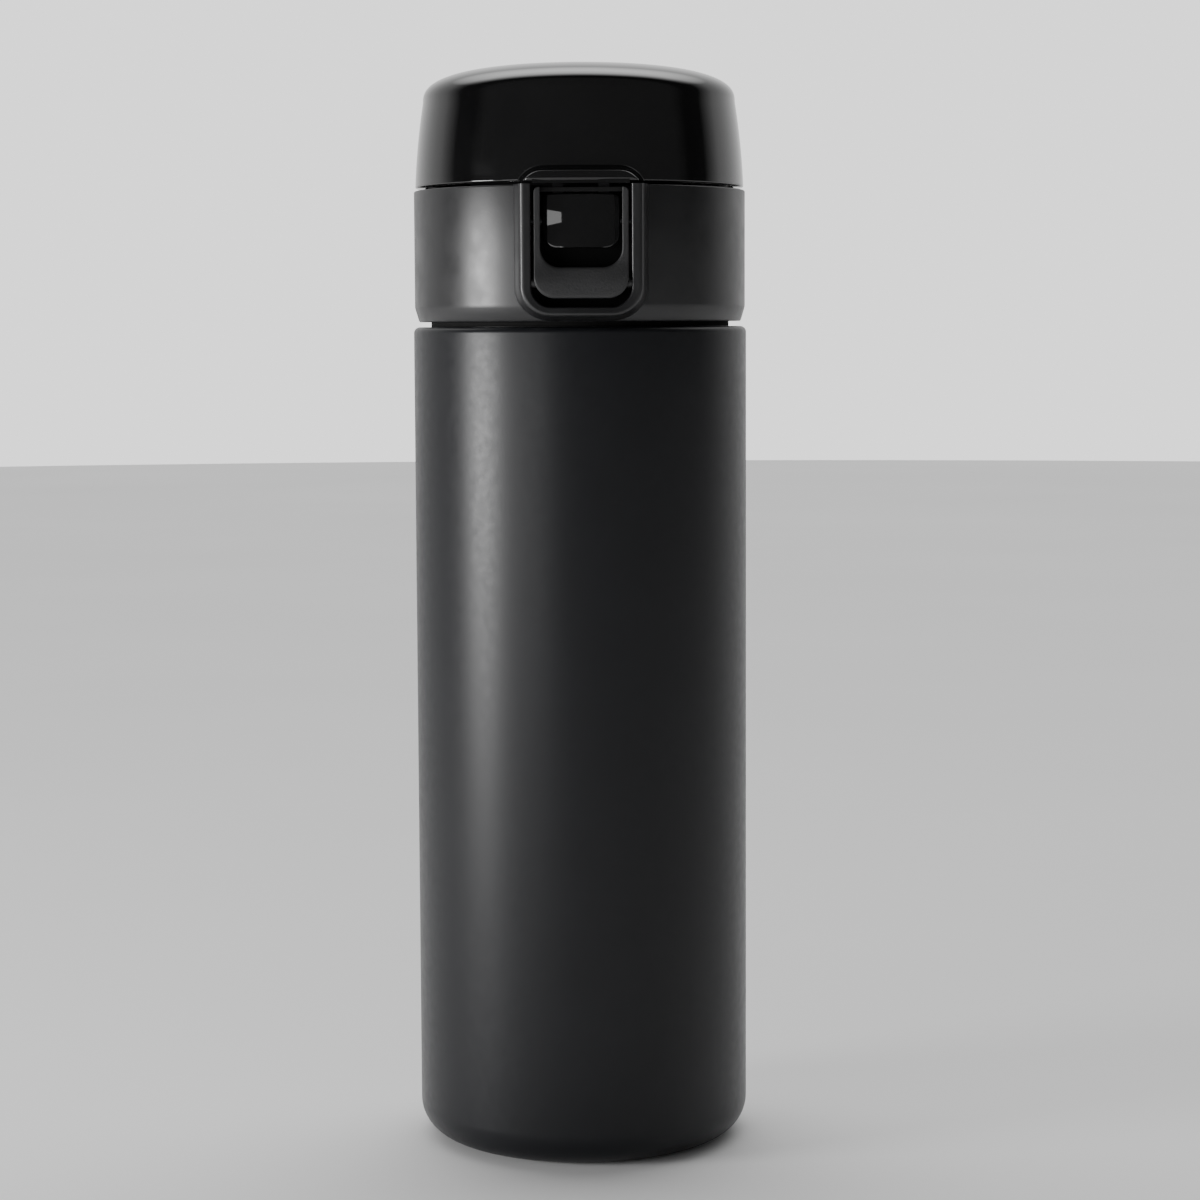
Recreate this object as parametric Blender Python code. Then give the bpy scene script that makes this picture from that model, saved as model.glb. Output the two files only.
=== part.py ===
"""One-touch vacuum flask: a double-walled steel bottle with a screw-on drinking cap.

Sizes are in millimetres, and MM turns them into metres where a mesh is made. The flask stands on
z = 0 with its axis on Z. The latch faces -Y, and the lid's hinge is at +Y.
"""

from math import cos, pi, radians, sin, sqrt

import bmesh
import bpy
from mathutils import Matrix, Vector

MM = 0.001
ROUND_SIDES = 48
SMALL_SIDES = 24

# Clearances
GAP = 0.3  # between pieces that touch on the real flask
PIN_PLAY = 0.25  # round a pin in its hole

# Bottle
BODY_RADIUS = 33.7
BODY_HEIGHT = 165.7
STEEL_WALL = 0.6
BASE_EDGE_RADIUS = 7.0
SHOULDER_EDGE_RADIUS = 1.2
STEP_HEIGHT = 1.3  # the shoulder's raised step, inside the collar's lower edge
STEP_CLEARANCE = 0.9
FOOT_WIDTH = 1.5
BASE_RECESS = 3.4
VACUUM_GAP = 3.0
INNER_BOTTOM_RADIUS = 8.0
NECK_FILLET = 1.5
NECK_CONE_HEIGHT = 9.0
FOIL_THICKNESS = 0.2
GETTER_RADIUS = 6.0
GETTER_HEIGHT = 1.2
SEAL_RADIUS = 2.2
SEAL_HOLE_RADIUS = 1.0

# Thread
THREAD_PITCH = 4.0
THREAD_DEPTH = 1.2
THREAD_CLEARANCE = 0.4
THREAD_ROOT_WIDTH = 2.0
THREAD_CREST_WIDTH = 0.9
THREAD_RUN_OUT = 0.08  # share of a turn over which the thread's height fades at its ends
THREAD_RING_WALL = 1.7
THREAD_RING_LIFT = 2.0  # the ring's lower edge above the bottle's shoulder

# Collar
COLLAR_INSET = 0.25
COLLAR_GAP = 1.0
COLLAR_HEIGHT = 26.2
COLLAR_WALL = 1.6
COLLAR_CHAMFER = 0.8
COLLAR_CHAMFER_HEIGHT = 3.1
DECK_DROP = 1.5
DECK_THICKNESS = 1.5
DECK_LIP = 0.7

# Latch bezel and pocket
BEZEL_PROUD = 2.6
BEZEL_RIM = 1.75
BEZEL_BLEND = 1.6
BEZEL_BOTTOM = 2.6
POCKET_DEPTH = 8.7
POCKET_CORNER = 3.9
TUB_WALL = 1.35
TUB_GAP = 0.6

# Lock ring
RING_ARM = 1.25
RING_DEPTH = 1.8
RING_SETBACK = 1.3  # behind the bezel's front
RING_BAR = 5.9
RING_CORNER = 4.0
RING_SIDE_GAP = 0.55
RING_FLOOR_GAP = 1.7
RING_TOP_DROP = 0.6
CROSSBAR = 0.9
CROSSBAR_SETBACK = 0.9  # behind the front of the ring's arms
TAB_WIDTH = 5.8
TAB_TIP = 0.6
RING_PIN_RADIUS = 0.9
RING_PIN_HEIGHT = 4.6  # above the pocket's floor

# Push button
BUTTON_WIDTH = 15.0
BUTTON_DEPTH = 3.4
BUTTON_SETBACK = 1.7
BUTTON_DROP = 1.8  # below the collar's top
BUTTON_FINGER_GAP = 3.7  # between the button and the lock ring's bar
BUTTON_SIDE_GAP = 0.35
BUTTON_CORNER = 2.9
BUTTON_TOP_CORNER = 1.0
BUTTON_PIN_RADIUS = 0.8
NOSE_WIDTH = 9.0
NOSE_HEIGHT = 1.2
NOSE_DROP = 0.4
NOSE_REACH = 1.1
BUTTON_SPRING_RADIUS = 1.7
BUTTON_SPRING_WIRE = 0.28
BUTTON_SPRING_TURNS = 3

# Mouthpiece and gaskets
MOUTH_DEPTH = 10.9  # the bottle's lip below the collar's top
SLEEVE_LENGTH = 5.0
SLEEVE_CLEARANCE = 0.5
MOUTHPIECE_WALL = 1.5
NECK_GASKET_HEIGHT = 1.5
SEAT_WIDTH = 3.2
RIM_INSET = 3.0
RIM_WIDTH = 2.2
RIM_HEADROOM = 8.1
LID_GASKET_PLAY = 0.35
LID_GASKET_WALL = 2.2

# Lid
LID_SEAM = 0.6
LID_INSET = 0.3
LID_HEIGHT = 24.4
LID_TAPER = 1.7
LID_WALL = 2.0
CROWN_HEIGHT = 7.4
CROWN_POWER = 2.7
BROW_HEIGHT = 3.1
BROW_CORNER = 4.5
BROW_INSET = 0.1
BROW_WALL = 1.3
LINER_WALL = 1.2
LINER_CEILING = 1.4
LINER_PLAY = 0.25
TONGUE_WIDTH = 11.0
TONGUE_WALL = 1.2
TONGUE_LIP = 1.1
WINDOW_PLAY = 0.5

# Hinge
HINGE_SETBACK = 0.2
HINGE_PIN_RADIUS = 1.0
EAR_WIDTH = 3.5
KNUCKLE_WIDTH = 3.8
HINGE_SPRING_SPACE = 8.4
HINGE_BOSS = 9.0
HINGE_NOTCH_PLAY = 0.45
LID_SPRING_RADIUS = 1.5
LID_SPRING_WIRE = 0.25
LID_SPRING_TURNS = 5
LID_SPRING_LEG = 2.6

# Heights
SHOULDER = BODY_HEIGHT
STEP_TOP = SHOULDER + STEP_HEIGHT
COLLAR_BOTTOM = SHOULDER + COLLAR_GAP
COLLAR_TOP = COLLAR_BOTTOM + COLLAR_HEIGHT
DECK_TOP = COLLAR_TOP - DECK_DROP
DECK_UNDERSIDE = DECK_TOP - DECK_THICKNESS
LIP = COLLAR_TOP - MOUTH_DEPTH
LID_BOTTOM = COLLAR_TOP + LID_SEAM
LID_TOP = LID_BOTTOM + LID_HEIGHT
CROWN_BASE = LID_TOP - CROWN_HEIGHT
RIM_TOP = CROWN_BASE - RIM_HEADROOM
POCKET_FLOOR = COLLAR_BOTTOM + 0.1 + BEZEL_BOTTOM
RING_BOTTOM = POCKET_FLOOR + RING_FLOOR_GAP
RING_OPENING = RING_BOTTOM + RING_BAR
BUTTON_BOTTOM = RING_OPENING + BUTTON_FINGER_GAP
BUTTON_TOP = COLLAR_TOP - BUTTON_DROP

# Radii, from the outside in: the neck takes what the latch pocket leaves
COLLAR_RADIUS = BODY_RADIUS - COLLAR_INSET
STEP_RADIUS = COLLAR_RADIUS - COLLAR_CHAMFER - COLLAR_WALL - STEP_CLEARANCE
LID_RADIUS = COLLAR_RADIUS - LID_INSET
FRONT = -(COLLAR_RADIUS + BEZEL_PROUD)
POCKET_BACK = FRONT + POCKET_DEPTH
THREAD_RING_RADIUS = -POCKET_BACK - TUB_WALL - TUB_GAP
THREAD_RING_BORE = THREAD_RING_RADIUS - THREAD_RING_WALL
NECK_RADIUS = THREAD_RING_BORE - THREAD_CLEARANCE - THREAD_DEPTH
INNER_NECK_RADIUS = NECK_RADIUS - STEEL_WALL - GAP
MOUTH_RADIUS = INNER_NECK_RADIUS - STEEL_WALL
SLEEVE_RADIUS = MOUTH_RADIUS - SLEEVE_CLEARANCE
SLEEVE_BORE = SLEEVE_RADIUS - MOUTHPIECE_WALL
BARREL_RADIUS = THREAD_RING_BORE - GAP
DECK_HOLE_RADIUS = THREAD_RING_BORE - DECK_LIP
SPOUT_RADIUS = DECK_HOLE_RADIUS - GAP
RIM_RADIUS = SPOUT_RADIUS - RIM_INSET
SEAT_BORE = SLEEVE_BORE - SEAT_WIDTH
INNER_RADIUS = BODY_RADIUS - STEEL_WALL - VACUUM_GAP
FOOT_OUTER = BODY_RADIUS - BASE_EDGE_RADIUS
FOOT_INNER = FOOT_OUTER - FOOT_WIDTH

# Latch widths
RING_OPENING_WIDTH = BUTTON_WIDTH + 2 * BUTTON_SIDE_GAP
RING_WIDTH = RING_OPENING_WIDTH + 2 * RING_ARM
POCKET_WIDTH = RING_WIDTH + 2 * RING_SIDE_GAP
TUB_WIDTH = POCKET_WIDTH + 2 * TUB_WALL
RIDGE_WIDTH = POCKET_WIDTH + 2 * BEZEL_RIM
BEZEL_WIDTH = RIDGE_WIDTH + 2 * BEZEL_BLEND

# Latch depths and joint axes
RING_FRONT = FRONT + RING_SETBACK
RING_BACK = RING_FRONT + RING_DEPTH
RING_AXIS = Vector((0, (RING_FRONT + RING_BACK) / 2, POCKET_FLOOR + RING_PIN_HEIGHT))
BUTTON_FRONT = FRONT + BUTTON_SETBACK
BUTTON_BACK = BUTTON_FRONT + BUTTON_DEPTH
BUTTON_AXIS = Vector((0, BUTTON_BACK - BUTTON_PIN_RADIUS, (BUTTON_TOP + BUTTON_BOTTOM) / 2))
NOSE_BACK = BUTTON_BACK + NOSE_REACH
NOSE_TOP = BUTTON_TOP - NOSE_DROP
NOSE_BOTTOM = NOSE_TOP - NOSE_HEIGHT
TONGUE_FRONT = NOSE_BACK + 0.5
TONGUE_BACK = TONGUE_FRONT + TONGUE_WALL
KNUCKLE_RADIUS = BEZEL_PROUD - HINGE_SETBACK
HINGE_AXIS = Vector((0, COLLAR_RADIUS + HINGE_SETBACK, COLLAR_TOP + LID_SEAM / 2))
BOSS_ROOT = COLLAR_RADIUS - COLLAR_WALL - 1.5
KNUCKLE_START = HINGE_SPRING_SPACE / 2
EAR_START = KNUCKLE_START + KNUCKLE_WIDTH + GAP
EAR_END = EAR_START + EAR_WIDTH


# --- tools ---------------------------------------------------------------------------------------


def clear_scene():
    for thing in list(bpy.data.objects):
        bpy.data.objects.remove(thing, do_unlink=True)


def material(name, colour, roughness, metallic=0.0):
    made = bpy.data.materials.new(name)
    made.use_nodes = True
    shader = made.node_tree.nodes["Principled BSDF"]
    shader.inputs["Base Color"].default_value = (*colour, 1)
    shader.inputs["Roughness"].default_value = roughness
    shader.inputs["Metallic"].default_value = metallic
    return made


def finish(name, mesh, look):
    """Makes a mesh an object of the scene, shaded smooth up to its real edges."""
    piece = bpy.data.objects.new(name, mesh)
    bpy.context.scene.collection.objects.link(piece)
    mesh.shade_smooth()
    mesh.set_sharp_from_angle(angle=radians(35))
    mesh.materials.append(material(name, *look))
    return piece


def arc(centre, radius, start, end, steps):
    """Points on an arc, from one angle to another in degrees."""
    turns = [radians(start + (end - start) * i / steps) for i in range(steps + 1)]
    return [(centre[0] + radius * cos(a), centre[1] + radius * sin(a)) for a in turns]


def turned(name, outline, look, sides=ROUND_SIDES):
    """A closed outline of (radius, height) points turned about Z."""
    shape = bmesh.new()
    corners = [shape.verts.new((r * MM, 0, z * MM)) for r, z in outline]
    edges = [shape.edges.new((a, b)) for a, b in zip(corners, corners[1:] + corners[:1])]
    bmesh.ops.spin(
        shape, geom=corners + edges, cent=(0, 0, 0), axis=(0, 0, 1), angle=2 * pi, steps=sides
    )
    bmesh.ops.remove_doubles(shape, verts=shape.verts, dist=1e-6)
    return closed(name, shape, look)


def closed(name, shape, look):
    bmesh.ops.dissolve_degenerate(shape, dist=1e-7, edges=shape.edges)
    bmesh.ops.recalc_face_normals(shape, faces=shape.faces)
    mesh = bpy.data.meshes.new(name)
    shape.to_mesh(mesh)
    shape.free()
    return finish(name, mesh, look)


def lofted(name, outlines, look):
    """A solid through flat outlines with the same number of points, given in order, as 3-D points."""
    shape = bmesh.new()
    rings = [[shape.verts.new(Vector(p) * MM) for p in outline] for outline in outlines]
    for low, high in zip(rings, rings[1:]):
        for i, corner in enumerate(low):
            after = (i + 1) % len(low)
            shape.faces.new((corner, low[after], high[after], high[i]))
    shape.faces.new(rings[0])
    shape.faces.new(rings[-1])
    return closed(name, shape, look)


def along_x(name, outline, start, end, look):
    """An outline of (y, z) points extruded along X."""
    return lofted(name, [[(x, y, z) for y, z in outline] for x in (start, end)], look)


def along_y(name, outline, start, end, look):
    """An outline of (x, z) points extruded along Y."""
    return lofted(name, [at_depth(outline, y) for y in (start, end)], look)


def rod(name, axis, radius, start, end, look, sides=16):
    """A round bar along X through a joint's axis."""
    outline = [(axis.y + a, axis.z + b) for a, b in arc((0, 0), radius, 0, 360, sides)[:-1]]
    return along_x(name, outline, start, end, look)


def wire(name, points, radius, look):
    """A bent wire of one open run."""
    curve = bpy.data.curves.new(name, "CURVE")
    curve.dimensions = "3D"
    curve.bevel_depth = radius * MM
    curve.bevel_resolution = 1
    curve.use_fill_caps = True
    run = curve.splines.new("POLY")
    run.points.add(len(points) - 1)
    for point, place in zip(run.points, points):
        point.co = (*(Vector(place) * MM), 1)
    curve.materials.append(material(name, *look))
    piece = bpy.data.objects.new(name, curve)
    bpy.context.scene.collection.objects.link(piece)
    return piece


def combine(piece, other, operation):
    """Cuts, joins or intersects a piece with a helper, which the model then leaves out."""
    step = piece.modifiers.new(f"{operation.lower()} {other.name}", "BOOLEAN")
    step.operation = operation
    step.object = other
    other.hide_render = True
    other.display_type = "WIRE"


def cut(piece, other):
    combine(piece, other, "DIFFERENCE")


def join(piece, other):
    combine(piece, other, "UNION")


def hang(name, place, *pieces):
    """An empty on a joint's axis, with the pieces that move about it as its children."""
    pivot = bpy.data.objects.new(name, None)
    pivot.location = Vector(place) * MM
    bpy.context.scene.collection.objects.link(pivot)
    for piece in pieces:
        piece.parent = pivot
        piece.matrix_parent_inverse = Matrix.Translation(-pivot.location)


def rounded_box(width, low, high, low_corner, high_corner, steps=4):
    """A front outline of (x, z) points with round corners, counter-clockwise from low left."""
    half = width / 2
    return [
        *arc((-half + low_corner, low + low_corner), low_corner, 180, 270, steps),
        *arc((half - low_corner, low + low_corner), low_corner, 270, 360, steps),
        *arc((half - high_corner, high - high_corner), high_corner, 0, 90, steps),
        *arc((-half + high_corner, high - high_corner), high_corner, 90, 180, steps),
    ]


def u_outline(width, low, high, corner, steps=5):
    """A U with round lower corners and square upper ones."""
    half = width / 2
    return [
        *arc((-half + corner, low + corner), corner, 180, 270, steps),
        *arc((half - corner, low + corner), corner, 270, 360, steps),
        (half, high),
        (-half, high),
    ]


def at_depth(outline, depth):
    """Puts an outline of (x, z) points in an upright plane at a depth along Y."""
    return [(x, depth, z) for x, z in outline]


STEEL = ((0.62, 0.62, 0.63), 0.3, 1.0)
PAINT = ((0.012, 0.013, 0.015), 0.38, 0.0)
SATIN = ((0.02, 0.02, 0.022), 0.42, 0.0)
GLOSS = ((0.008, 0.008, 0.008), 0.08, 0.0)
MATTE = ((0.025, 0.025, 0.025), 0.6, 0.0)
INNER = ((0.03, 0.03, 0.032), 0.35, 0.0)
SILICONE = ((0.55, 0.55, 0.56), 0.6, 0.0)
COPPER = ((0.8, 0.42, 0.26), 0.25, 1.0)
GLASS_FRIT = ((0.15, 0.12, 0.1), 0.3, 0.0)
ZIRCONIUM = ((0.25, 0.25, 0.26), 0.7, 0.6)


# --- bottle --------------------------------------------------------------------------------------


def outer_shell():
    """The outer steel wall: foot, rounded base edge, body, shoulder and threaded neck."""
    neck_foot = STEP_TOP + NECK_FILLET
    base = (FOOT_OUTER, BASE_EDGE_RADIUS)
    edge = (BODY_RADIUS - SHOULDER_EDGE_RADIUS, SHOULDER - SHOULDER_EDGE_RADIUS)
    fillet = (NECK_RADIUS + NECK_FILLET, neck_foot)
    neck_top = LIP - STEEL_WALL - GAP
    outside = [
        (FOOT_INNER, BASE_RECESS),
        (FOOT_INNER, 0),
        *arc(base, BASE_EDGE_RADIUS, 270, 360, 4),
        *arc(edge, SHOULDER_EDGE_RADIUS, 0, 90, 2),
        (STEP_RADIUS, SHOULDER),
        (STEP_RADIUS, STEP_TOP),
        *arc(fillet, NECK_FILLET, 270, 180, 2),
        (NECK_RADIUS, neck_top),
    ]
    inside = [
        (NECK_RADIUS - STEEL_WALL, neck_top),
        *arc(fillet, NECK_FILLET + STEEL_WALL, 180, 270, 2),
        (STEP_RADIUS - STEEL_WALL, STEP_TOP - STEEL_WALL),
        (STEP_RADIUS - STEEL_WALL, SHOULDER - STEEL_WALL),
        *arc(edge, SHOULDER_EDGE_RADIUS - STEEL_WALL, 90, 0, 2),
        *arc(base, BASE_EDGE_RADIUS - STEEL_WALL, 360, 270, 4),
        (FOOT_INNER + STEEL_WALL, STEEL_WALL),
        (FOOT_INNER + STEEL_WALL, BASE_RECESS),
    ]
    shell = turned("outer_shell", outside + inside, PAINT)
    start, turns = neck_thread()
    ridge = thread("neck_thread", NECK_RADIUS, 1, start, turns)
    join(shell, ridge)
    return shell


def neck_thread():
    """The neck thread's first height and its number of turns, from the room that the neck has."""
    start = SHOULDER + THREAD_RING_LIFT + THREAD_PITCH / 2 + THREAD_ROOT_WIDTH / 2
    room = LIP - THREAD_RING_LIFT - THREAD_ROOT_WIDTH / 2 - start
    return start, room / THREAD_PITCH


def thread(name, root, outward, start, turns, sides=36):
    """A right-hand ridge on a round wall, outward with 1 or inward with -1, with faded ends."""
    steps = max(6, round(sides * turns))
    outlines = []
    for i in range(steps + 1):
        share = i / steps
        angle = 2 * pi * turns * share
        height = start + THREAD_PITCH * turns * share
        fade = min(1, share * turns / THREAD_RUN_OUT, (1 - share) * turns / THREAD_RUN_OUT)
        crest = root + outward * THREAD_DEPTH * max(0.25, fade)
        foot = root - outward * STEEL_WALL / 2
        profile = [
            (foot, -THREAD_ROOT_WIDTH / 2),
            (crest, -THREAD_CREST_WIDTH / 2),
            (crest, THREAD_CREST_WIDTH / 2),
            (foot, THREAD_ROOT_WIDTH / 2),
        ]
        outlines.append([(r * cos(angle), r * sin(angle), height + z) for r, z in profile])
    return lofted(name, outlines, STEEL)


def inner_vessel():
    """The inner steel wall, closed at the bottom, with a lip that is turned out over the neck."""
    bottom = BASE_RECESS + GETTER_HEIGHT + 2.9
    knee = SHOULDER - 1.5
    low = (INNER_RADIUS - INNER_BOTTOM_RADIUS, bottom + INNER_BOTTOM_RADIUS)
    outside = [
        (0, bottom),
        *arc(low, INNER_BOTTOM_RADIUS, 270, 360, 3),
        (INNER_RADIUS, knee - NECK_CONE_HEIGHT),
        (INNER_NECK_RADIUS, knee),
        (INNER_NECK_RADIUS, LIP - STEEL_WALL),
        (NECK_RADIUS, LIP - STEEL_WALL),
        (NECK_RADIUS, LIP),
    ]
    inside = [
        (MOUTH_RADIUS, LIP),
        (MOUTH_RADIUS, knee + STEEL_WALL / 3),
        (INNER_RADIUS - STEEL_WALL, knee - NECK_CONE_HEIGHT - STEEL_WALL / 3),
        *arc(low, INNER_BOTTOM_RADIUS - STEEL_WALL, 360, 270, 3),
        (0, bottom + STEEL_WALL),
    ]
    return turned("inner_vessel", outside + inside, STEEL)


def radiation_foil():
    """The copper foil round the inner vessel, in the vacuum."""
    inner = INNER_RADIUS + GAP
    outer = inner + FOIL_THICKNESS
    low = BASE_RECESS + INNER_BOTTOM_RADIUS + 6
    high = SHOULDER - NECK_CONE_HEIGHT - 4
    outline = [(inner, low), (outer, low), (outer, high), (inner, high)]
    return turned("radiation_foil", outline, COPPER)


def outer_bottom():
    """The welded plate that closes the vacuum, with the evacuation hole in its middle."""
    low = BASE_RECESS - STEEL_WALL - 0.2
    rim = FOOT_INNER - GAP
    outline = [
        (SEAL_HOLE_RADIUS, low),
        (rim, low),
        (rim, low + STEEL_WALL),
        (SEAL_HOLE_RADIUS, low + STEEL_WALL),
    ]
    return turned("outer_bottom", outline, STEEL)


def vacuum_seal():
    """The bead that plugs the evacuation hole from below."""
    top = BASE_RECESS - STEEL_WALL - 0.2 - GAP
    stem = SEAL_HOLE_RADIUS - GAP
    outline = [
        (0, top - 0.6),
        (SEAL_RADIUS * 0.7, top - 0.6),
        (SEAL_RADIUS, top),
        (stem, top),
        (stem, top + STEEL_WALL + GAP),
        (0, top + STEEL_WALL + GAP),
    ]
    return turned("vacuum_seal", outline, GLASS_FRIT, SMALL_SIDES)


def getter():
    """The ring-shaped getter tablet on the closing plate."""
    low = BASE_RECESS - 0.2 + GAP
    outline = [
        (SEAL_RADIUS, low),
        (GETTER_RADIUS, low),
        (GETTER_RADIUS, low + GETTER_HEIGHT),
        (SEAL_RADIUS, low + GETTER_HEIGHT),
    ]
    return turned("getter", outline, ZIRCONIUM, SMALL_SIDES)


def base_cover():
    """The cover plate under the bottom, set back inside the foot."""
    rim = FOOT_INNER - GAP
    outline = [(0, 0.6), (rim, 0.6), (rim, 1.2), (0, 1.2)]
    return turned("base_cover", outline, STEEL)


# --- cap -----------------------------------------------------------------------------------------


def collar():
    """The outer ring of the cap, with its deck, latch pocket and hinge ears."""
    bore = COLLAR_RADIUS - COLLAR_WALL
    outline = [
        (COLLAR_RADIUS - COLLAR_CHAMFER, COLLAR_BOTTOM),
        (COLLAR_RADIUS, COLLAR_BOTTOM + COLLAR_CHAMFER_HEIGHT),
        (COLLAR_RADIUS, COLLAR_TOP),
        (bore, COLLAR_TOP),
        (bore, DECK_TOP),
        (DECK_HOLE_RADIUS, DECK_TOP),
        (DECK_HOLE_RADIUS, DECK_UNDERSIDE),
        (bore, DECK_UNDERSIDE),
        (bore, COLLAR_BOTTOM + COLLAR_CHAMFER_HEIGHT),
        (bore - COLLAR_CHAMFER, COLLAR_BOTTOM),
    ]
    ring = turned("collar", outline, SATIN)
    join(ring, bezel_block())
    join(ring, tub_block())
    cut(ring, pocket_hole())
    boss = boss_outline(-1, BOSS_ROOT, COLLAR_TOP - 0.5)
    join(ring, along_x("collar_boss", boss, -EAR_END, EAR_END, SATIN))
    cut(ring, hinge_notch("collar_notch", -1, EAR_START))
    cut(ring, rod("ear_hole", HINGE_AXIS, HINGE_PIN_RADIUS + PIN_PLAY, -20, 20, SATIN))
    half = TUB_WIDTH / 2 + 1
    cut(ring, rod("button_pin_hole", BUTTON_AXIS, BUTTON_PIN_RADIUS + PIN_PLAY, -half, half, SATIN, 12))
    cut(ring, rod("ring_pin_hole", RING_AXIS, RING_PIN_RADIUS + PIN_PLAY, -half, half, SATIN, 12))
    return ring


def bezel_block():
    """The raised rim round the pocket: a U that narrows from the collar's wall to its flat front."""
    low = POCKET_FLOOR - BEZEL_BOTTOM
    back = -sqrt(COLLAR_RADIUS**2 - (BEZEL_WIDTH / 2) ** 2) + COLLAR_WALL / 3
    wide = u_outline(BEZEL_WIDTH, low, COLLAR_TOP, POCKET_CORNER + BEZEL_RIM)
    narrow = u_outline(RIDGE_WIDTH, low + BEZEL_BLEND * 0.7, COLLAR_TOP, POCKET_CORNER + BEZEL_RIM)
    return lofted("bezel_block", [at_depth(wide, back), at_depth(narrow, FRONT)], SATIN)


def tub_block():
    """The walls of the pocket inside the collar."""
    low = POCKET_FLOOR - TUB_WALL
    outline = u_outline(TUB_WIDTH, low, DECK_TOP - 0.1, POCKET_CORNER + TUB_WALL)
    return along_y("tub_block", outline, -COLLAR_RADIUS + COLLAR_WALL / 2, POCKET_BACK + TUB_WALL, SATIN)


def pocket_hole():
    outline = u_outline(POCKET_WIDTH, POCKET_FLOOR, COLLAR_TOP + 2, POCKET_CORNER)
    return along_y("pocket_hole", outline, FRONT - 1, POCKET_BACK, SATIN)


def hinge_notch(name, direction, half, play=HINGE_NOTCH_PLAY):
    """A box that clears the hinge's round across the rear wall, below the axis with -1, above with 1."""
    reach = direction * (KNUCKLE_RADIUS + play)
    low, high = sorted((HINGE_AXIS.z + reach, HINGE_AXIS.z - 2 * reach))
    front = HINGE_AXIS.y - KNUCKLE_RADIUS - play
    back = HINGE_AXIS.y + KNUCKLE_RADIUS + 2
    outline = [(front, low), (back, low), (back, high), (front, high)]
    return along_x(name, outline, -half, half, SATIN)


def boss_outline(direction, root, shelf):
    """The hinge's round with a wedge that runs into the wall, down with -1 or up with 1."""
    around = arc((HINGE_AXIS.y, HINGE_AXIS.z), KNUCKLE_RADIUS, 0, -180 * direction, 10)
    return [*around, (root, shelf), (root, HINGE_AXIS.z + direction * HINGE_BOSS)]


def thread_ring():
    """The inner ring of the cap, which screws on the bottle's neck."""
    low = SHOULDER + THREAD_RING_LIFT
    outline = [
        (THREAD_RING_BORE, low),
        (THREAD_RING_RADIUS, low),
        (THREAD_RING_RADIUS, DECK_UNDERSIDE - GAP),
        (THREAD_RING_BORE, DECK_UNDERSIDE - GAP),
    ]
    ring = turned("thread_ring", outline, INNER)
    start, turns = neck_thread()
    ridge = thread("ring_thread", THREAD_RING_BORE, -1, start - THREAD_PITCH / 2, turns)
    join(ring, ridge)
    return ring


def neck_gasket():
    """The silicone ring between the mouthpiece and the bottle's lip."""
    low = LIP + GAP
    high = low + NECK_GASKET_HEIGHT
    inner = SLEEVE_RADIUS + GAP
    outer = BARREL_RADIUS - 0.1
    outline = [
        (inner, low + 0.4),
        (inner + 0.4, low),
        (outer, low),
        (outer, high),
        (inner, high),
    ]
    return turned("neck_gasket", outline, SILICONE)


def mouthpiece():
    """The drinking spout: a sleeve in the neck, a seat for the stopper and a raised round rim."""
    floor = LIP + NECK_GASKET_HEIGHT + 2 * GAP
    barrel_top = DECK_UNDERSIDE - GAP
    rim = (RIM_RADIUS - RIM_WIDTH / 2, RIM_TOP - RIM_WIDTH / 2)
    outline = [
        (SLEEVE_BORE, floor - SLEEVE_LENGTH),
        (SLEEVE_RADIUS, floor - SLEEVE_LENGTH),
        (SLEEVE_RADIUS, floor),
        (BARREL_RADIUS, floor),
        (BARREL_RADIUS, barrel_top),
        (SPOUT_RADIUS, barrel_top),
        (SPOUT_RADIUS, DECK_TOP + 1),
        *arc(rim, RIM_WIDTH / 2, 0, 180, 4),
        (SEAT_BORE, DECK_TOP + 4),
        (SEAT_BORE, DECK_TOP + 0.6),
        (SLEEVE_BORE, DECK_TOP - 1),
    ]
    return turned("mouthpiece", outline, INNER)


# --- lid -----------------------------------------------------------------------------------------


def lid_radius(height, inset=0.0):
    """The lid's radius at a height, or that of the surface which lies an inset inside it."""
    height = height + inset * max(0.0, min(1.0, (height - CROWN_BASE + inset) / CROWN_HEIGHT))
    if height <= CROWN_BASE:
        share = max(0.0, (height - LID_BOTTOM) / (CROWN_BASE - LID_BOTTOM))
        return LID_RADIUS - LID_TAPER * share**2 - inset
    share = min(1.0, (height - CROWN_BASE) / CROWN_HEIGHT)
    return (LID_RADIUS - LID_TAPER) * (1 - share**CROWN_POWER) ** (1 / CROWN_POWER) - inset


def lid_outline(inset, low, sides, crowns):
    """The lid's outline, or an inner one, from its lower edge to the middle of its crown."""
    top = CROWN_HEIGHT - inset
    reach = LID_RADIUS - LID_TAPER - inset
    points = [(LID_RADIUS - inset, low)]
    for i in range(1, sides + 1):
        share = i / sides
        height = LID_BOTTOM + (CROWN_BASE - LID_BOTTOM) * share
        points.append((LID_RADIUS - LID_TAPER * share**2 - inset, height))
    for i in range(1, crowns + 1):
        turn = pi / 2 * i / crowns
        across = reach * cos(turn) ** (2 / CROWN_POWER) if i < crowns else 0
        points.append((across, CROWN_BASE + top * sin(turn) ** (2 / CROWN_POWER)))
    return points


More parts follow.
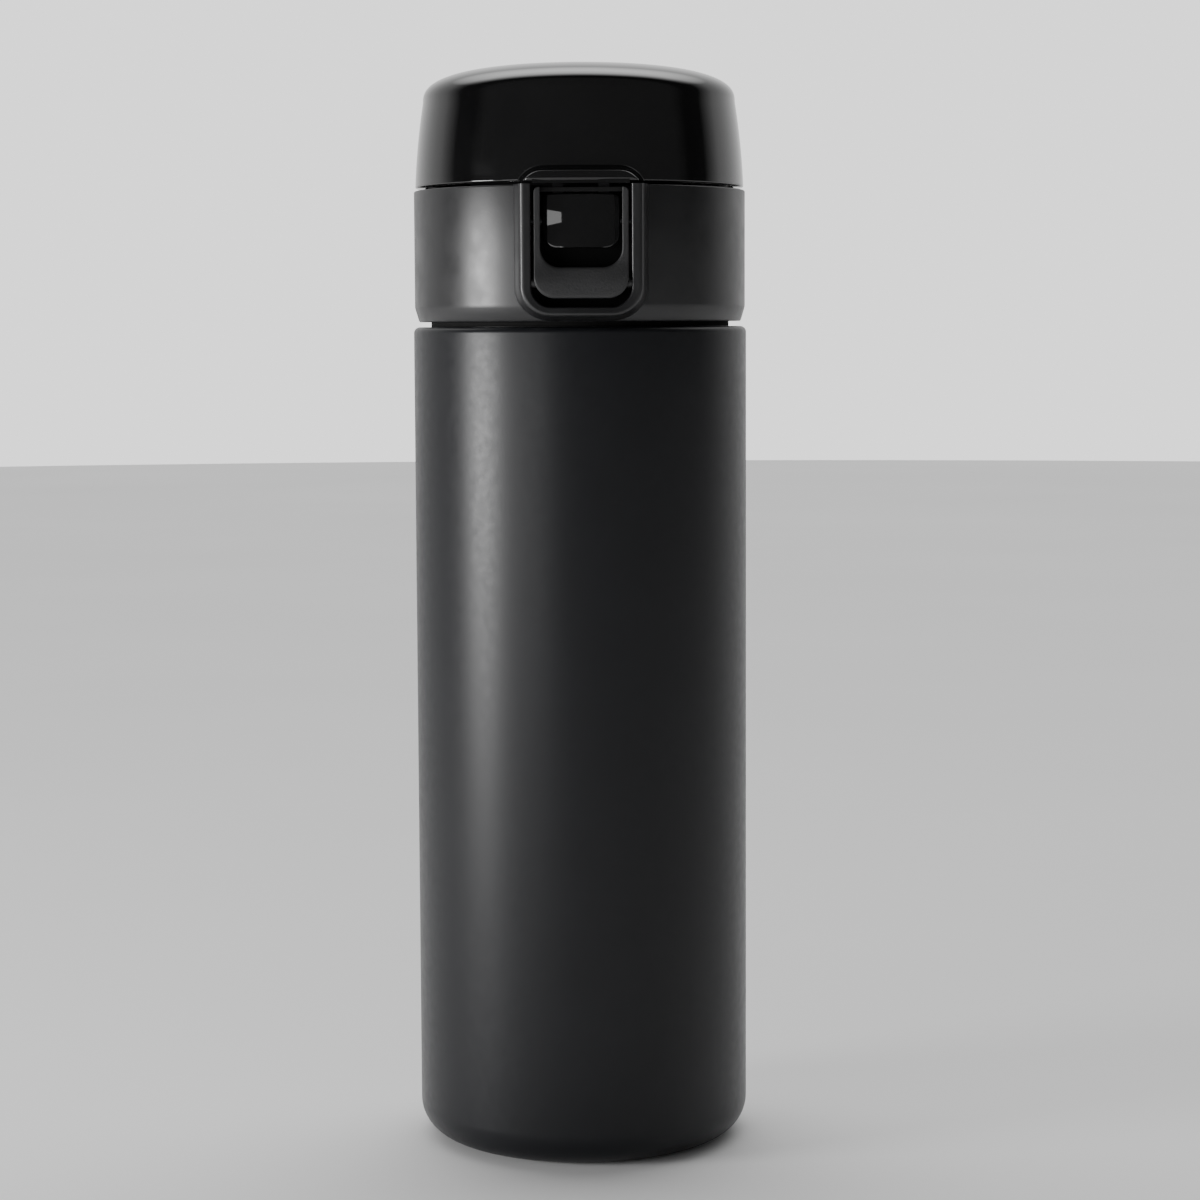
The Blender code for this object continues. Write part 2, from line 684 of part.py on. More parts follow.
def lid_shell():
    """The gloss outer cover of the lid, hollow below, with the brow over the latch."""
    solid = turned("lid_shell", [*lid_outline(0, LID_BOTTOM, 3, 7), (0, LID_BOTTOM)], GLOSS)
    join(solid, brow_block())
    hollow = [*lid_outline(LID_WALL, LID_BOTTOM - 2, 3, 5), (0, LID_BOTTOM - 2)]
    cut(solid, turned("lid_hollow", hollow, GLOSS))
    cut(solid, brow_hollow())
    cut(solid, hinge_notch("lid_notch", 1, EAR_END + HINGE_NOTCH_PLAY))
    join(solid, lid_boss())
    cut(solid, rod("knuckle_hole", HINGE_AXIS, HINGE_PIN_RADIUS + PIN_PLAY, -20, 20, GLOSS))
    return solid


def brow_outline(half, low, high):
    """The brow's arch, straight on top with round shoulders."""
    shoulder = (half - BROW_CORNER, high - BROW_CORNER)
    return [
        (-half, low),
        (half, low),
        *arc(shoulder, BROW_CORNER, 30, 90, 4),
        *[(-x, z) for x, z in reversed(arc(shoulder, BROW_CORNER, 30, 90, 4))],
    ]


def brow_block():
    """The raised brow, and the lip that reaches down into the pocket's mouth."""
    half = BEZEL_WIDTH / 2 + 0.3
    outline = brow_outline(half, LID_BOTTOM, LID_BOTTOM + BROW_HEIGHT)
    back = -sqrt(LID_RADIUS**2 - half**2) + LID_WALL / 2
    block = along_y("brow_block", outline, back, FRONT + BROW_INSET, GLOSS)
    lip_half = POCKET_WIDTH / 2 - GAP
    lip = [
        (-lip_half, COLLAR_TOP),
        (lip_half, COLLAR_TOP),
        (lip_half, LID_BOTTOM + 1),
        (-lip_half, LID_BOTTOM + 1),
    ]
    join(block, along_y("brow_lip", lip, FRONT + BROW_INSET + BROW_WALL, FRONT + BROW_INSET + 0.05, GLOSS))
    return block


def brow_hollow():
    """The hollow under the brow, behind its lip, where the lock ring's tab swings."""
    half = POCKET_WIDTH / 2 - GAP - 1
    high = LID_BOTTOM + BROW_HEIGHT - BROW_WALL
    outline = [(-half, LID_BOTTOM - 2), (half, LID_BOTTOM - 2), (half, high), (-half, high)]
    back = -LID_RADIUS + LID_WALL / 2
    return along_y("brow_hollow", outline, back, FRONT + BROW_INSET + BROW_WALL, GLOSS)


def lid_boss():
    """The lid's hinge boss: two knuckles with the spring's slot between them."""
    half = KNUCKLE_START + KNUCKLE_WIDTH
    root = LID_RADIUS - LID_WALL + 0.3
    boss = along_x("lid_boss", boss_outline(1, root, LID_BOTTOM + 0.9), -half, half, GLOSS)
    cut(boss, hinge_notch("spring_slot", 1, KNUCKLE_START, HINGE_NOTCH_PLAY / 2))
    return boss


def lid_liner():
    """The inner cover of the lid, with the stopper's post and the latch tongue."""
    inset = LID_WALL + GAP
    low = LID_BOTTOM + 0.4
    ceiling = RIM_TOP + 2.6
    top = ceiling + LINER_CEILING
    post = SEAT_BORE - LID_GASKET_PLAY - LID_GASKET_WALL - GAP
    foot = DECK_TOP + 3.4
    outline = [
        (LID_RADIUS - inset - LINER_WALL, low),
        (LID_RADIUS - inset - LINER_PLAY, low),
        (lid_radius(top, inset) - LINER_PLAY, top),
        (post - LINER_WALL, top),
        (post - LINER_WALL, foot + LINER_WALL),
        (0, foot + LINER_WALL),
        (0, foot),
        (post, foot),
        (post, ceiling),
        (lid_radius(ceiling, inset + LINER_WALL) - LINER_PLAY, ceiling),
    ]
    liner = turned("lid_liner", outline, INNER)
    join(liner, tongue_plate())
    cut(liner, tongue_window())
    return liner


def tongue_plate():
    """The tongue that the button's nose holds down by its lip."""
    lip_top = NOSE_BOTTOM - GAP
    lip_front = TONGUE_FRONT - TONGUE_LIP
    wall_front = -(LID_RADIUS - LID_WALL - GAP - 0.5)
    outline = [
        (TONGUE_BACK, lip_top - 2.2),
        (TONGUE_FRONT, lip_top - 2.2),
        (lip_front, lip_top - 1.0),
        (lip_front, lip_top),
        (TONGUE_FRONT, lip_top),
        (TONGUE_FRONT, LID_BOTTOM + 0.4),
        (wall_front, LID_BOTTOM + 0.9),
        (wall_front, LID_BOTTOM + 6),
        (TONGUE_BACK, LID_BOTTOM + 6),
    ]
    return along_x("tongue_plate", outline, -TONGUE_WIDTH / 2, TONGUE_WIDTH / 2, INNER)


def tongue_window():
    """The window in the tongue for the lock ring's tab."""
    low = COLLAR_TOP - RING_TOP_DROP - CROSSBAR - GAP
    high = LID_BOTTOM - 0.3
    outline = [
        (TONGUE_FRONT - 2, low),
        (TONGUE_BACK + 1, low),
        (TONGUE_BACK + 1, high),
        (TONGUE_FRONT - 2, high),
    ]
    half = TAB_WIDTH / 2 + WINDOW_PLAY
    return along_x("tongue_window", outline, -half, half, INNER)


def lid_gasket():
    """The silicone stopper over the liner's post."""
    outer = SEAT_BORE - LID_GASKET_PLAY
    inner = outer - LID_GASKET_WALL
    low = DECK_TOP + 1.6
    floor = low + 1.5
    high = RIM_TOP + 2.3
    outline = [
        (0, low),
        (outer - 1.2, low),
        (outer, low + 1.2),
        (outer - 0.9, low + 2.6),
        (outer - 0.9, high),
        (inner, high),
        (inner, floor),
        (0, floor),
    ]
    return turned("lid_gasket", outline, SILICONE)


# --- hinge ---------------------------------------------------------------------------------------


def hinge_pin():
    """The steel pin through the ears and knuckles."""
    half = EAR_END - 0.4
    return rod("hinge_pin", HINGE_AXIS, HINGE_PIN_RADIUS, -half, half, STEEL)


def lid_spring():
    """The torsion spring round the pin, with one leg on the lid and one on the collar."""
    per_turn = 9
    half = KNUCKLE_START - 0.5
    steps = LID_SPRING_TURNS * per_turn
    points = []
    for i in range(steps + 1):
        angle = 2 * pi * i / per_turn + pi
        x = -half + 2 * half * i / steps
        y = HINGE_AXIS.y + LID_SPRING_RADIUS * cos(angle)
        points.append((x, y, HINGE_AXIS.z + LID_SPRING_RADIUS * sin(angle)))
    inner = HINGE_AXIS.y - LID_SPRING_RADIUS
    first = (-half, inner, HINGE_AXIS.z + LID_SPRING_LEG)
    last = (half, inner, HINGE_AXIS.z - LID_SPRING_LEG + 0.4)
    return wire("lid_spring", [first, *points, last], LID_SPRING_WIRE, STEEL)


# --- latch ---------------------------------------------------------------------------------------


def push_button():
    """The rocker button, with the nose that holds the lid's tongue."""
    outline = rounded_box(BUTTON_WIDTH, BUTTON_BOTTOM, BUTTON_TOP, BUTTON_CORNER, BUTTON_TOP_CORNER)
    button = along_y("push_button", outline, BUTTON_FRONT, BUTTON_BACK, GLOSS)
    nose = [
        (BUTTON_BACK - 1, NOSE_BOTTOM),
        (NOSE_BACK, NOSE_BOTTOM),
        (NOSE_BACK, NOSE_TOP - 0.6),
        (NOSE_BACK - 0.6, NOSE_TOP),
        (BUTTON_BACK - 1, NOSE_TOP),
    ]
    join(button, along_x("button_nose", nose, -NOSE_WIDTH / 2, NOSE_WIDTH / 2, GLOSS))
    groove_radius = BUTTON_PIN_RADIUS + PIN_PLAY
    cut(button, rod("button_groove", BUTTON_AXIS, groove_radius, -BUTTON_WIDTH, BUTTON_WIDTH, GLOSS, 12))
    return button


def button_pin():
    """The steel pin that the button rocks on, held in the pocket's side walls."""
    half = TUB_WIDTH / 2 - 0.2
    return rod("button_pin", BUTTON_AXIS, BUTTON_PIN_RADIUS, -half, half, STEEL, 12)


def button_spring():
    """The compression spring between the button's lower half and the pocket's back."""
    per_turn = 10
    start = BUTTON_BACK + GAP + BUTTON_SPRING_WIRE
    end = POCKET_BACK - GAP - BUTTON_SPRING_WIRE
    height = BUTTON_BOTTOM + BUTTON_SPRING_RADIUS + 0.6
    steps = BUTTON_SPRING_TURNS * per_turn
    points = []
    for i in range(steps + 1):
        angle = 2 * pi * i / per_turn
        y = start + (end - start) * i / steps
        points.append((BUTTON_SPRING_RADIUS * cos(angle), y, height + BUTTON_SPRING_RADIUS * sin(angle)))
    return wire("button_spring", points, BUTTON_SPRING_WIRE, STEEL)


def lock_ring():
    """The stirrup round the button: two arms, a broad bar below, and a crossbar with a tab above."""
    top = COLLAR_TOP - RING_TOP_DROP
    outline = rounded_box(RING_WIDTH, RING_BOTTOM, top, RING_CORNER, 0.6)
    ring = along_y("lock_ring", outline, RING_FRONT, RING_BACK, MATTE)
    opening = rounded_box(RING_OPENING_WIDTH, RING_OPENING, top - CROSSBAR, RING_CORNER - 0.3, 0.3)
    cut(ring, along_y("ring_opening", opening, RING_FRONT - 1, RING_BACK + 1, MATTE))
    setback = rounded_box(RING_OPENING_WIDTH + 0.2, top - CROSSBAR - 0.3, top + 1, 0.2, 0.2)
    cut(ring, along_y("crossbar_setback", setback, RING_FRONT - 1, RING_FRONT + CROSSBAR_SETBACK, MATTE))
    tip = TONGUE_FRONT + TONGUE_WALL / 2
    tab = [
        (RING_BACK - 0.5, top - CROSSBAR),
        (tip, top - CROSSBAR),
        (tip, top - CROSSBAR + TAB_TIP),
        (RING_BACK - 0.5, top - 0.1),
    ]
    join(ring, along_x("ring_tab", tab, -TAB_WIDTH / 2, TAB_WIDTH / 2, MATTE))
    reach = TUB_WIDTH / 2 - 0.3
    for side in (-1, 1):
        start = side * (RING_WIDTH / 2 - 0.6)
        join(ring, rod(f"ring_stub_{side}", RING_AXIS, RING_PIN_RADIUS, start, side * reach, MATTE, 12))
    return ring


def build():
    clear_scene()
    outer_shell()
    inner_vessel()
    radiation_foil()
    outer_bottom()
    vacuum_seal()
    getter()
    base_cover()
    cap = [collar(), thread_ring(), mouthpiece(), hinge_pin(), button_pin(), button_spring(), lid_spring()]
    hang("cap_axis", (0, 0, LIP), *cap)
    hang("gasket_axis", (0, 0, LIP), neck_gasket())
    hang("lid_axis", HINGE_AXIS, lid_shell(), lid_liner(), lid_gasket())
    hang("button_axis", BUTTON_AXIS, push_button())
    hang("ring_axis", RING_AXIS, lock_ring())


build()
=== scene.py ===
"""The finished look of the one-touch vacuum flask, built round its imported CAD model.

Lengths are in millimetres until a mesh is made. The latch faces -Y and the hinge is at +Y.
"""

from math import cos, pi, radians, sin, sqrt

import bmesh
import bpy
from mathutils import Matrix, Vector

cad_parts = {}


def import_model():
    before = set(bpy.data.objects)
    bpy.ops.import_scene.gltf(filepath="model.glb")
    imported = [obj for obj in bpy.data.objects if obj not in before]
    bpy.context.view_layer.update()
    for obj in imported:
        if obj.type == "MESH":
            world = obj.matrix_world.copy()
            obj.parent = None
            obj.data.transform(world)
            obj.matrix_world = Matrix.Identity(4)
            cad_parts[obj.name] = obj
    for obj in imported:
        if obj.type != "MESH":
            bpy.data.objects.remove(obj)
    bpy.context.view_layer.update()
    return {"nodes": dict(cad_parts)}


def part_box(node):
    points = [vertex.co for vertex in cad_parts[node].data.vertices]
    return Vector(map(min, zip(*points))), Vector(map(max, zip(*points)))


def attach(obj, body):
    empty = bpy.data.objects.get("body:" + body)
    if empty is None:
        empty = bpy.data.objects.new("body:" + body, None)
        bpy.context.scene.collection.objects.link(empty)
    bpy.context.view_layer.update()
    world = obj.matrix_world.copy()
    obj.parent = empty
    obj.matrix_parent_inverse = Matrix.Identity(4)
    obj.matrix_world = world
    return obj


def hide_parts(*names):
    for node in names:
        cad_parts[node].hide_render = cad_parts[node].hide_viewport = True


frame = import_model()

MM = 0.001


def corners(node):
    """A CAD node's lowest and highest corners, in millimetres."""
    low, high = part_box(node)
    return low / MM, high / MM


SHELL_HIGH = corners("outer_shell")[1]
COLLAR_LOW, COLLAR_HIGH = corners("collar")
LID_HIGH = corners("lid_shell")[1]
BUTTON_LOW, BUTTON_HIGH = corners("push_button")
RING_LOW, RING_HIGH = corners("lock_ring")
PIN_LOW, PIN_HIGH = corners("hinge_pin")
SPOUT_LOW, SPOUT_HIGH = corners("mouthpiece")

# Body
BODY_RADIUS = SHELL_HIGH.x
SHOULDER = 165.7
BASE_EDGE = 7.0
SHOULDER_EDGE = 1.2
STEP_TOP = SHOULDER + 1.3
STEP_CLEARANCE = 0.9
SHELL_WALL = 0.6
FOOT_WIDTH = 1.5
BASE_RECESS = 3.4
NECK_TOP = SHELL_HIGH.z
NECK_RADIUS = 22.1
NECK_FILLET = 1.5
THREAD_PITCH = 4.0
THREAD_DEPTH = 1.2

# Collar
COLLAR_RADIUS = COLLAR_HIGH.x
COLLAR_BOTTOM = COLLAR_LOW.z
COLLAR_TOP = 192.9
COLLAR_WALL = 1.6
CHAMFER = 0.8
CHAMFER_HEIGHT = 3.1
DECK_TOP = COLLAR_TOP - 1.5
DECK_UNDERSIDE = DECK_TOP - 1.5
DECK_HOLE = 23.0
STEP_RADIUS = COLLAR_RADIUS - CHAMFER - COLLAR_WALL - STEP_CLEARANCE

# Latch
FRONT = COLLAR_LOW.y
BOW_RADIUS = 60.0  # the gentle bow of the bezel's front, seen from above
POCKET_HALF = 9.65
POCKET_FLOOR = 169.4
POCKET_CORNER = 3.9
POCKET_BACK = FRONT + 8.7
TUB_WALL = 1.35
RIM = 1.75
BLEND = 1.6
BLEND_LOW = 0.776  # the rim's lower part is this much narrower
BUTTON_DEPTH = 3.4
BUTTON_CORNER = 2.9
BUTTON_TOP_CORNER = 1.0
CATCH_HALF = 4.5
RING_FRONT = RING_LOW.y
RING_TOP = RING_HIGH.z
RING_DEPTH = 1.8
RING_HALF = 9.1
OPENING_HALF = 7.85
RING_OPENING = 177.0
CROSSBAR = 0.9
TAB_HALF = 2.9
STUB_RADIUS = 0.88
STUB_START = 8.6
STUB_RISE = 4.6

# Lid
LID_RADIUS = LID_HIGH.x
LID_BOTTOM = 193.5
LID_TOP = LID_HIGH.z
CROWN_HEIGHT = 7.4
CROWN_BASE = LID_TOP - CROWN_HEIGHT
CROWN_POWER = 2.7
LID_TAPER = 1.7
LID_WALL = 2.0
BROW_TOP = 195.1
BROW_BLEND = 1.55
BROW_CORNER = 4.0
BROW_HALF = 11.4

# Hinge
HINGE_Y = (PIN_LOW.y + PIN_HIGH.y) / 2
HINGE_Z = (PIN_LOW.z + PIN_HIGH.z) / 2
HINGE_RADIUS = COLLAR_HIGH.y - HINGE_Y
KNUCKLE_START = 4.2
KNUCKLE_END = 8.0
EAR_START = 8.3
EAR_END = 11.8
HINGE_BOSS = 8.9
PIN_HOLE = 1.22
NOTCH_PLAY = 0.45

# Mouthpiece
SLEEVE_RADIUS = 20.1
SPOUT_BORE = 18.6
SEAT_RADIUS = 15.4
RIM_ROUND = 1.1
RIM_RADIUS = 19.8 - RIM_ROUND

# View
SENSOR_WIDTH = 36
FOCAL_LENGTH = 87.6
CAMERA_PLACE = (3.8, -596.0, 166.0)
CAMERA_PITCH = 5.38
CAMERA_ROLL = -0.26
CAMERA_TURN = -0.9


# --- mesh tools ----------------------------------------------------------------------------------


def add_object(name, shape, sharp=35):
    """Makes a bmesh an object, shaded smooth up to its sharp edges."""
    bmesh.ops.recalc_face_normals(shape, faces=shape.faces)
    mesh = bpy.data.meshes.new(name)
    shape.to_mesh(mesh)
    shape.free()
    mesh.shade_smooth()
    mesh.set_sharp_from_angle(angle=radians(sharp))
    piece = bpy.data.objects.new(name, mesh)
    bpy.context.scene.collection.objects.link(piece)
    return piece


def arc(centre, radius, start, end, steps):
    """Points along a circle, from one angle to another in degrees."""
    turns = [radians(start + (end - start) * i / steps) for i in range(steps + 1)]
    return [(centre[0] + radius * cos(a), centre[1] + radius * sin(a)) for a in turns]


def between(start, end, steps):
    """Evenly spaced values between two others, with neither end."""
    return [start + (end - start) * i / steps for i in range(1, steps)]


def quarter(steps):
    """Angles from 0 to a quarter turn."""
    return [pi / 2 * i / steps for i in range(steps + 1)]


def rounded_outline(half, low, high, low_corner, high_corner, steps):
    """A rounded rectangle's (x, z) points; steps are for its low and high corners, width and height."""
    low_steps, high_steps, across, up = steps
    left, right = -half + low_corner, half - low_corner
    foot, head = low + low_corner, high - high_corner
    shoulder = half - high_corner
    return [
        *arc((left, foot), low_corner, 180, 270, low_steps),
        *[(x, low) for x in between(left, right, across)],
        *arc((right, foot), low_corner, 270, 360, low_steps),
        *[(half, z) for z in between(foot, head, up)],
        *arc((shoulder, head), high_corner, 0, 90, high_steps),
        *[(x, high) for x in between(shoulder, -shoulder, across)],
        *arc((-shoulder, head), high_corner, 90, 180, high_steps),
        *[(-half, z) for z in between(head, foot, up)],
    ]


def lathe(name, outline, sides=160, sharp=35):
    """A closed outline of (radius, height) points turned about Z."""
    shape = bmesh.new()
    points = [shape.verts.new((r * MM, 0, z * MM)) for r, z in outline]
    edges = [shape.edges.new((a, b)) for a, b in zip(points, points[1:] + points[:1])]
    bmesh.ops.spin(
        shape, geom=points + edges, cent=(0, 0, 0), axis=(0, 0, 1), angle=2 * pi, steps=sides
    )
    bmesh.ops.remove_doubles(shape, verts=shape.verts, dist=1e-6)
    bmesh.ops.dissolve_degenerate(shape, dist=1e-7, edges=shape.edges)
    return add_object(name, shape, sharp)


def loft(name, outlines, sharp=35, ring=False):
    """A solid through outlines with equal numbers of 3-D points; a ring closes on itself."""
    shape = bmesh.new()
    loops = [[shape.verts.new(Vector(p) * MM) for p in outline] for outline in outlines]
    pairs = list(zip(loops, loops[1:]))
    if ring:
        pairs.append((loops[-1], loops[0]))
    for low, high in pairs:
        for i, point in enumerate(low):
            after = (i + 1) % len(low)
            shape.faces.new((point, low[after], high[after], high[i]))
    if not ring:
        shape.faces.new(loops[0])
        shape.faces.new(loops[-1])
    return add_object(name, shape, sharp)


def slab_x(name, outline, start, end):
    """An outline of (y, z) points drawn out along X."""
    return loft(name, [[(x, y, z) for y, z in outline] for x in (start, end)])


def slab_y(name, outline, start, end):
    """An outline of (x, z) points drawn out along Y."""
    return loft(name, [[(x, y, z) for x, z in outline] for y in (start, end)])


def box(name, low, high):
    """A box from its lowest corner to its highest."""
    outline = [(low[0], low[2]), (high[0], low[2]), (high[0], high[2]), (low[0], high[2])]
    return slab_y(name, outline, low[1], high[1])


def cut(piece, other):
    """Cuts a piece with a helper, then removes the helper."""
    step = piece.modifiers.new("cut", "BOOLEAN")
    step.operation = "DIFFERENCE"
    step.object = other
    bake(piece)
    bpy.data.objects.remove(other, do_unlink=True)


def bake(piece):
    """Applies a piece's modifiers."""
    bpy.context.view_layer.update()
    shown = piece.evaluated_get(bpy.context.evaluated_depsgraph_get())
    mesh = bpy.data.meshes.new_from_object(shown)
    piece.modifiers.clear()
    piece.data = mesh


def soften(piece, width, segments=3, angle=40):
    """Rounds a piece's edges."""
    step = piece.modifiers.new("soft edges", "BEVEL")
    step.width = width * MM
    step.segments = segments
    step.limit_method = "ANGLE"
    step.angle_limit = radians(angle)
    step.harden_normals = True
    bake(piece)


# --- materials -----------------------------------------------------------------------------------


class Look:
    """One procedural material: a Principled BSDF with its texture nodes."""

    def __init__(self, name, roughness, **values):
        self.made = bpy.data.materials.new(name)
        self.made.use_nodes = True
        self.tree = self.made.node_tree
        self.shader = self.tree.nodes["Principled BSDF"]
        self.shader.inputs["Roughness"].default_value = roughness
        for socket, value in values.items():
            self.shader.inputs[socket.replace("_", " ")].default_value = value
        self.place = self.node("ShaderNodeTexCoord").outputs["Object"]

    def node(self, kind, **settings):
        made = self.tree.nodes.new(kind)
        for key, value in settings.items():
            setattr(made, key, value)
        return made

    def link(self, start, end):
        self.tree.links.new(start, end)

    def noise(self, scale, detail=3.0, stretch=(1, 1, 1)):
        """Noise in object space: scale is in cells per metre."""
        mapping = self.node("ShaderNodeMapping")
        mapping.inputs["Scale"].default_value = stretch
        self.link(self.place, mapping.inputs["Vector"])
        made = self.node("ShaderNodeTexNoise")
        made.inputs["Scale"].default_value = scale
        made.inputs["Detail"].default_value = detail
        self.link(mapping.outputs["Vector"], made.inputs["Vector"])
        return made.outputs["Fac"]

    def ramp(self, source, stops):
        made = self.node("ShaderNodeValToRGB")
        line = made.color_ramp
        while len(line.elements) < len(stops):
            line.elements.new(0.5)
        for element, (place, colour) in zip(line.elements, stops):
            element.position = place
            element.color = (*colour, 1)
        self.link(source, made.inputs["Fac"])
        return made.outputs["Color"]

    def spread(self, source, low, high):
        made = self.node("ShaderNodeMapRange")
        made.inputs["From Min"].default_value = 0.3
        made.inputs["From Max"].default_value = 0.7
        made.inputs["To Min"].default_value = low
        made.inputs["To Max"].default_value = high
        self.link(source, made.inputs["Value"])
        return made.outputs["Result"]

    def colour(self, source):
        self.link(source, self.shader.inputs["Base Color"])
        return self

    def rough(self, source):
        self.link(source, self.shader.inputs["Roughness"])
        return self

    def bump(self, source, depth, strength=1.0):
        """Bump of a depth in millimetres."""
        made = self.node("ShaderNodeBump")
        made.inputs["Strength"].default_value = strength
        made.inputs["Distance"].default_value = depth * MM
        self.link(source, made.inputs["Height"])
        before = self.shader.inputs["Normal"].links
        if before:
            self.link(before[0].from_socket, made.inputs["Normal"])
        self.link(made.outputs["Normal"], self.shader.inputs["Normal"])
        return self


def plastic(name, colour, roughness, grain, depth, spread=0.04, **values):
    """Moulded plastic with a fine grain and faint cloudiness."""
    look = Look(name, roughness, **values)
    darker = tuple(c * 0.82 for c in colour)
    look.colour(look.ramp(look.noise(90, 2), [(0.3, darker), (0.7, colour)]))
    look.rough(look.spread(look.noise(240, 4), roughness - spread, roughness + spread))
    look.bump(look.noise(grain, 2), depth)
    return look.made


def steel(name, colour, roughness, stretch):
    """Brushed steel: fine lines along a direction."""
    look = Look(name, roughness, Metallic=1.0)
    lines = look.noise(1400, 4, stretch)
    darker = tuple(c * 0.8 for c in colour)
    look.colour(look.ramp(lines, [(0.3, darker), (0.7, colour)]))
    look.rough(look.spread(lines, roughness - 0.08, roughness + 0.1))
    look.bump(lines, 0.004)
    return look.made


def body_paint():
    """Satin black paint over steel, with the bare neck above the shoulder and painted shade, near black, on
    the shoulder's step below the collar.
    """
    look = Look("satin_paint", 0.36, Specular_IOR_Level=0.32)
    height = look.node("ShaderNodeSeparateXYZ")
    look.link(look.place, height.inputs["Vector"])

    def above(level):
        made = look.node("ShaderNodeMath", operation="GREATER_THAN")
        made.inputs[1].default_value = level * MM
        look.link(height.outputs["Z"], made.inputs[0])
        return made.outputs[0]

    def over(lower, upper, mask):
        made = look.node("ShaderNodeMix", data_type="RGBA")
        look.link(mask, made.inputs["Factor"])
        look.link(lower, made.inputs["A"])
        look.link(upper, made.inputs["B"])
        return made.outputs["Result"]

    grain = look.noise(60, 2)
    paint = look.ramp(grain, [(0.3, (0.0048, 0.0051, 0.0066)), (0.7, (0.006, 0.0064, 0.0082))])
    # Painted shade: near-black colour on the shoulder's step, where the gap under the collar lies in shade.
    step_painted_shade = look.ramp(grain, [(0.3, (0.001, 0.001, 0.001)), (0.7, (0.002, 0.002, 0.002))])
    brushed = look.noise(900, 3, (0.05, 0.05, 1))
    metal = look.ramp(brushed, [(0.3, (0.5, 0.5, 0.51)), (0.7, (0.66, 0.66, 0.67))])
    bare = above(STEP_TOP + 0.2)
    look.colour(over(over(paint, step_painted_shade, above(SHOULDER + 0.05)), metal, bare))
    look.link(bare, look.shader.inputs["Metallic"])
    step = look.node("ShaderNodeMath", operation="MULTIPLY_ADD")
    step.inputs[1].default_value = 0.5
    look.link(above(SHOULDER + 0.05), step.inputs[0])
    look.link(look.spread(look.noise(500, 4), 0.33, 0.39), step.inputs[2])
    shine = look.node("ShaderNodeMath", operation="MULTIPLY_ADD")
    shine.inputs[1].default_value = -0.55
    look.link(bare, shine.inputs[0])
    look.link(step.outputs[0], shine.inputs[2])
    look.rough(shine.outputs[0])
    look.bump(look.noise(3200, 2), 0.006)
    look.bump(look.noise(700, 2, (1, 1, 0.06)), 0.002)
    return look.made


def gloss_black():
    """Polished black plastic, with the faintest moulding waviness."""
    look = Look("gloss_black", 0.07)
    look.shader.inputs["Coat Weight"].default_value = 0.3
    look.shader.inputs["Coat Roughness"].default_value = 0.03
    tint = [(0.3, (0.0028, 0.0028, 0.003)), (0.7, (0.0042, 0.0042, 0.0044))]
    look.colour(look.ramp(look.noise(70, 2), tint))
    look.rough(look.spread(look.noise(160, 3), 0.05, 0.1))
    look.bump(look.noise(110, 1), 0.012)
    return look.made


def copper_foil():
    """Creased copper foil."""
    look = Look("copper", 0.25, Metallic=1.0)
    creases = look.noise(160, 5)
    look.colour(look.ramp(creases, [(0.3, (0.6, 0.3, 0.18)), (0.7, (0.85, 0.48, 0.32))]))
    look.bump(creases, 0.15)
    return look.made


LOOKS = {
    "paint": body_paint(),
    "gloss": gloss_black(),
    "satin": plastic("satin_black", (0.0125, 0.0125, 0.0135), 0.34, 2600, 0.006),
    "matte": plastic("textured_black", (0.02, 0.02, 0.021), 0.5, 2300, 0.05, 0.08),
    "inner": plastic("moulded_black", (0.02, 0.02, 0.022), 0.32, 1500, 0.004),
    # Painted shade: a near-black material for the pocket's back wall and the lock ring's crossbar and tab,
    # which stand in shade.
    "shaded": plastic("painted_shade_black", (0.0022, 0.0022, 0.0024), 0.7, 1500, 0.01, Specular_IOR_Level=0.25),
    "silicone": plastic("silicone_grey", (0.42, 0.42, 0.43), 0.55, 900, 0.01, Subsurface_Weight=0.15),
    "turned": steel("turned_steel", (0.62, 0.62, 0.63), 0.28, (0.05, 0.05, 1)),
    "drawn": steel("drawn_wire", (0.5, 0.5, 0.52), 0.3, (1, 1, 1)),
    "blackened": steel("blackened_steel", (0.035, 0.035, 0.037), 0.4, (1, 1, 1)),
    "copper": copper_foil(),
    "frit": plastic("glass_frit", (0.16, 0.12, 0.09), 0.2, 700, 0.02),
    "alloy": plastic("getter_alloy", (0.26, 0.26, 0.27), 0.6, 1800, 0.05, Metallic=0.6),
}


def dress(piece, look):
    """Gives a piece one of the looks as its only material."""
    piece.data.materials.clear()
    piece.data.materials.append(LOOKS[look])


def fit(piece, look, body, slot, *nodes):
    """Gives a new piece its material and body, and hides the CAD nodes it stands for; the slot is not used.
    """
    dress(piece, look)
    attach(piece, body)
    if nodes:
        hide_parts(*nodes)


# --- bottle --------------------------------------------------------------------------------------


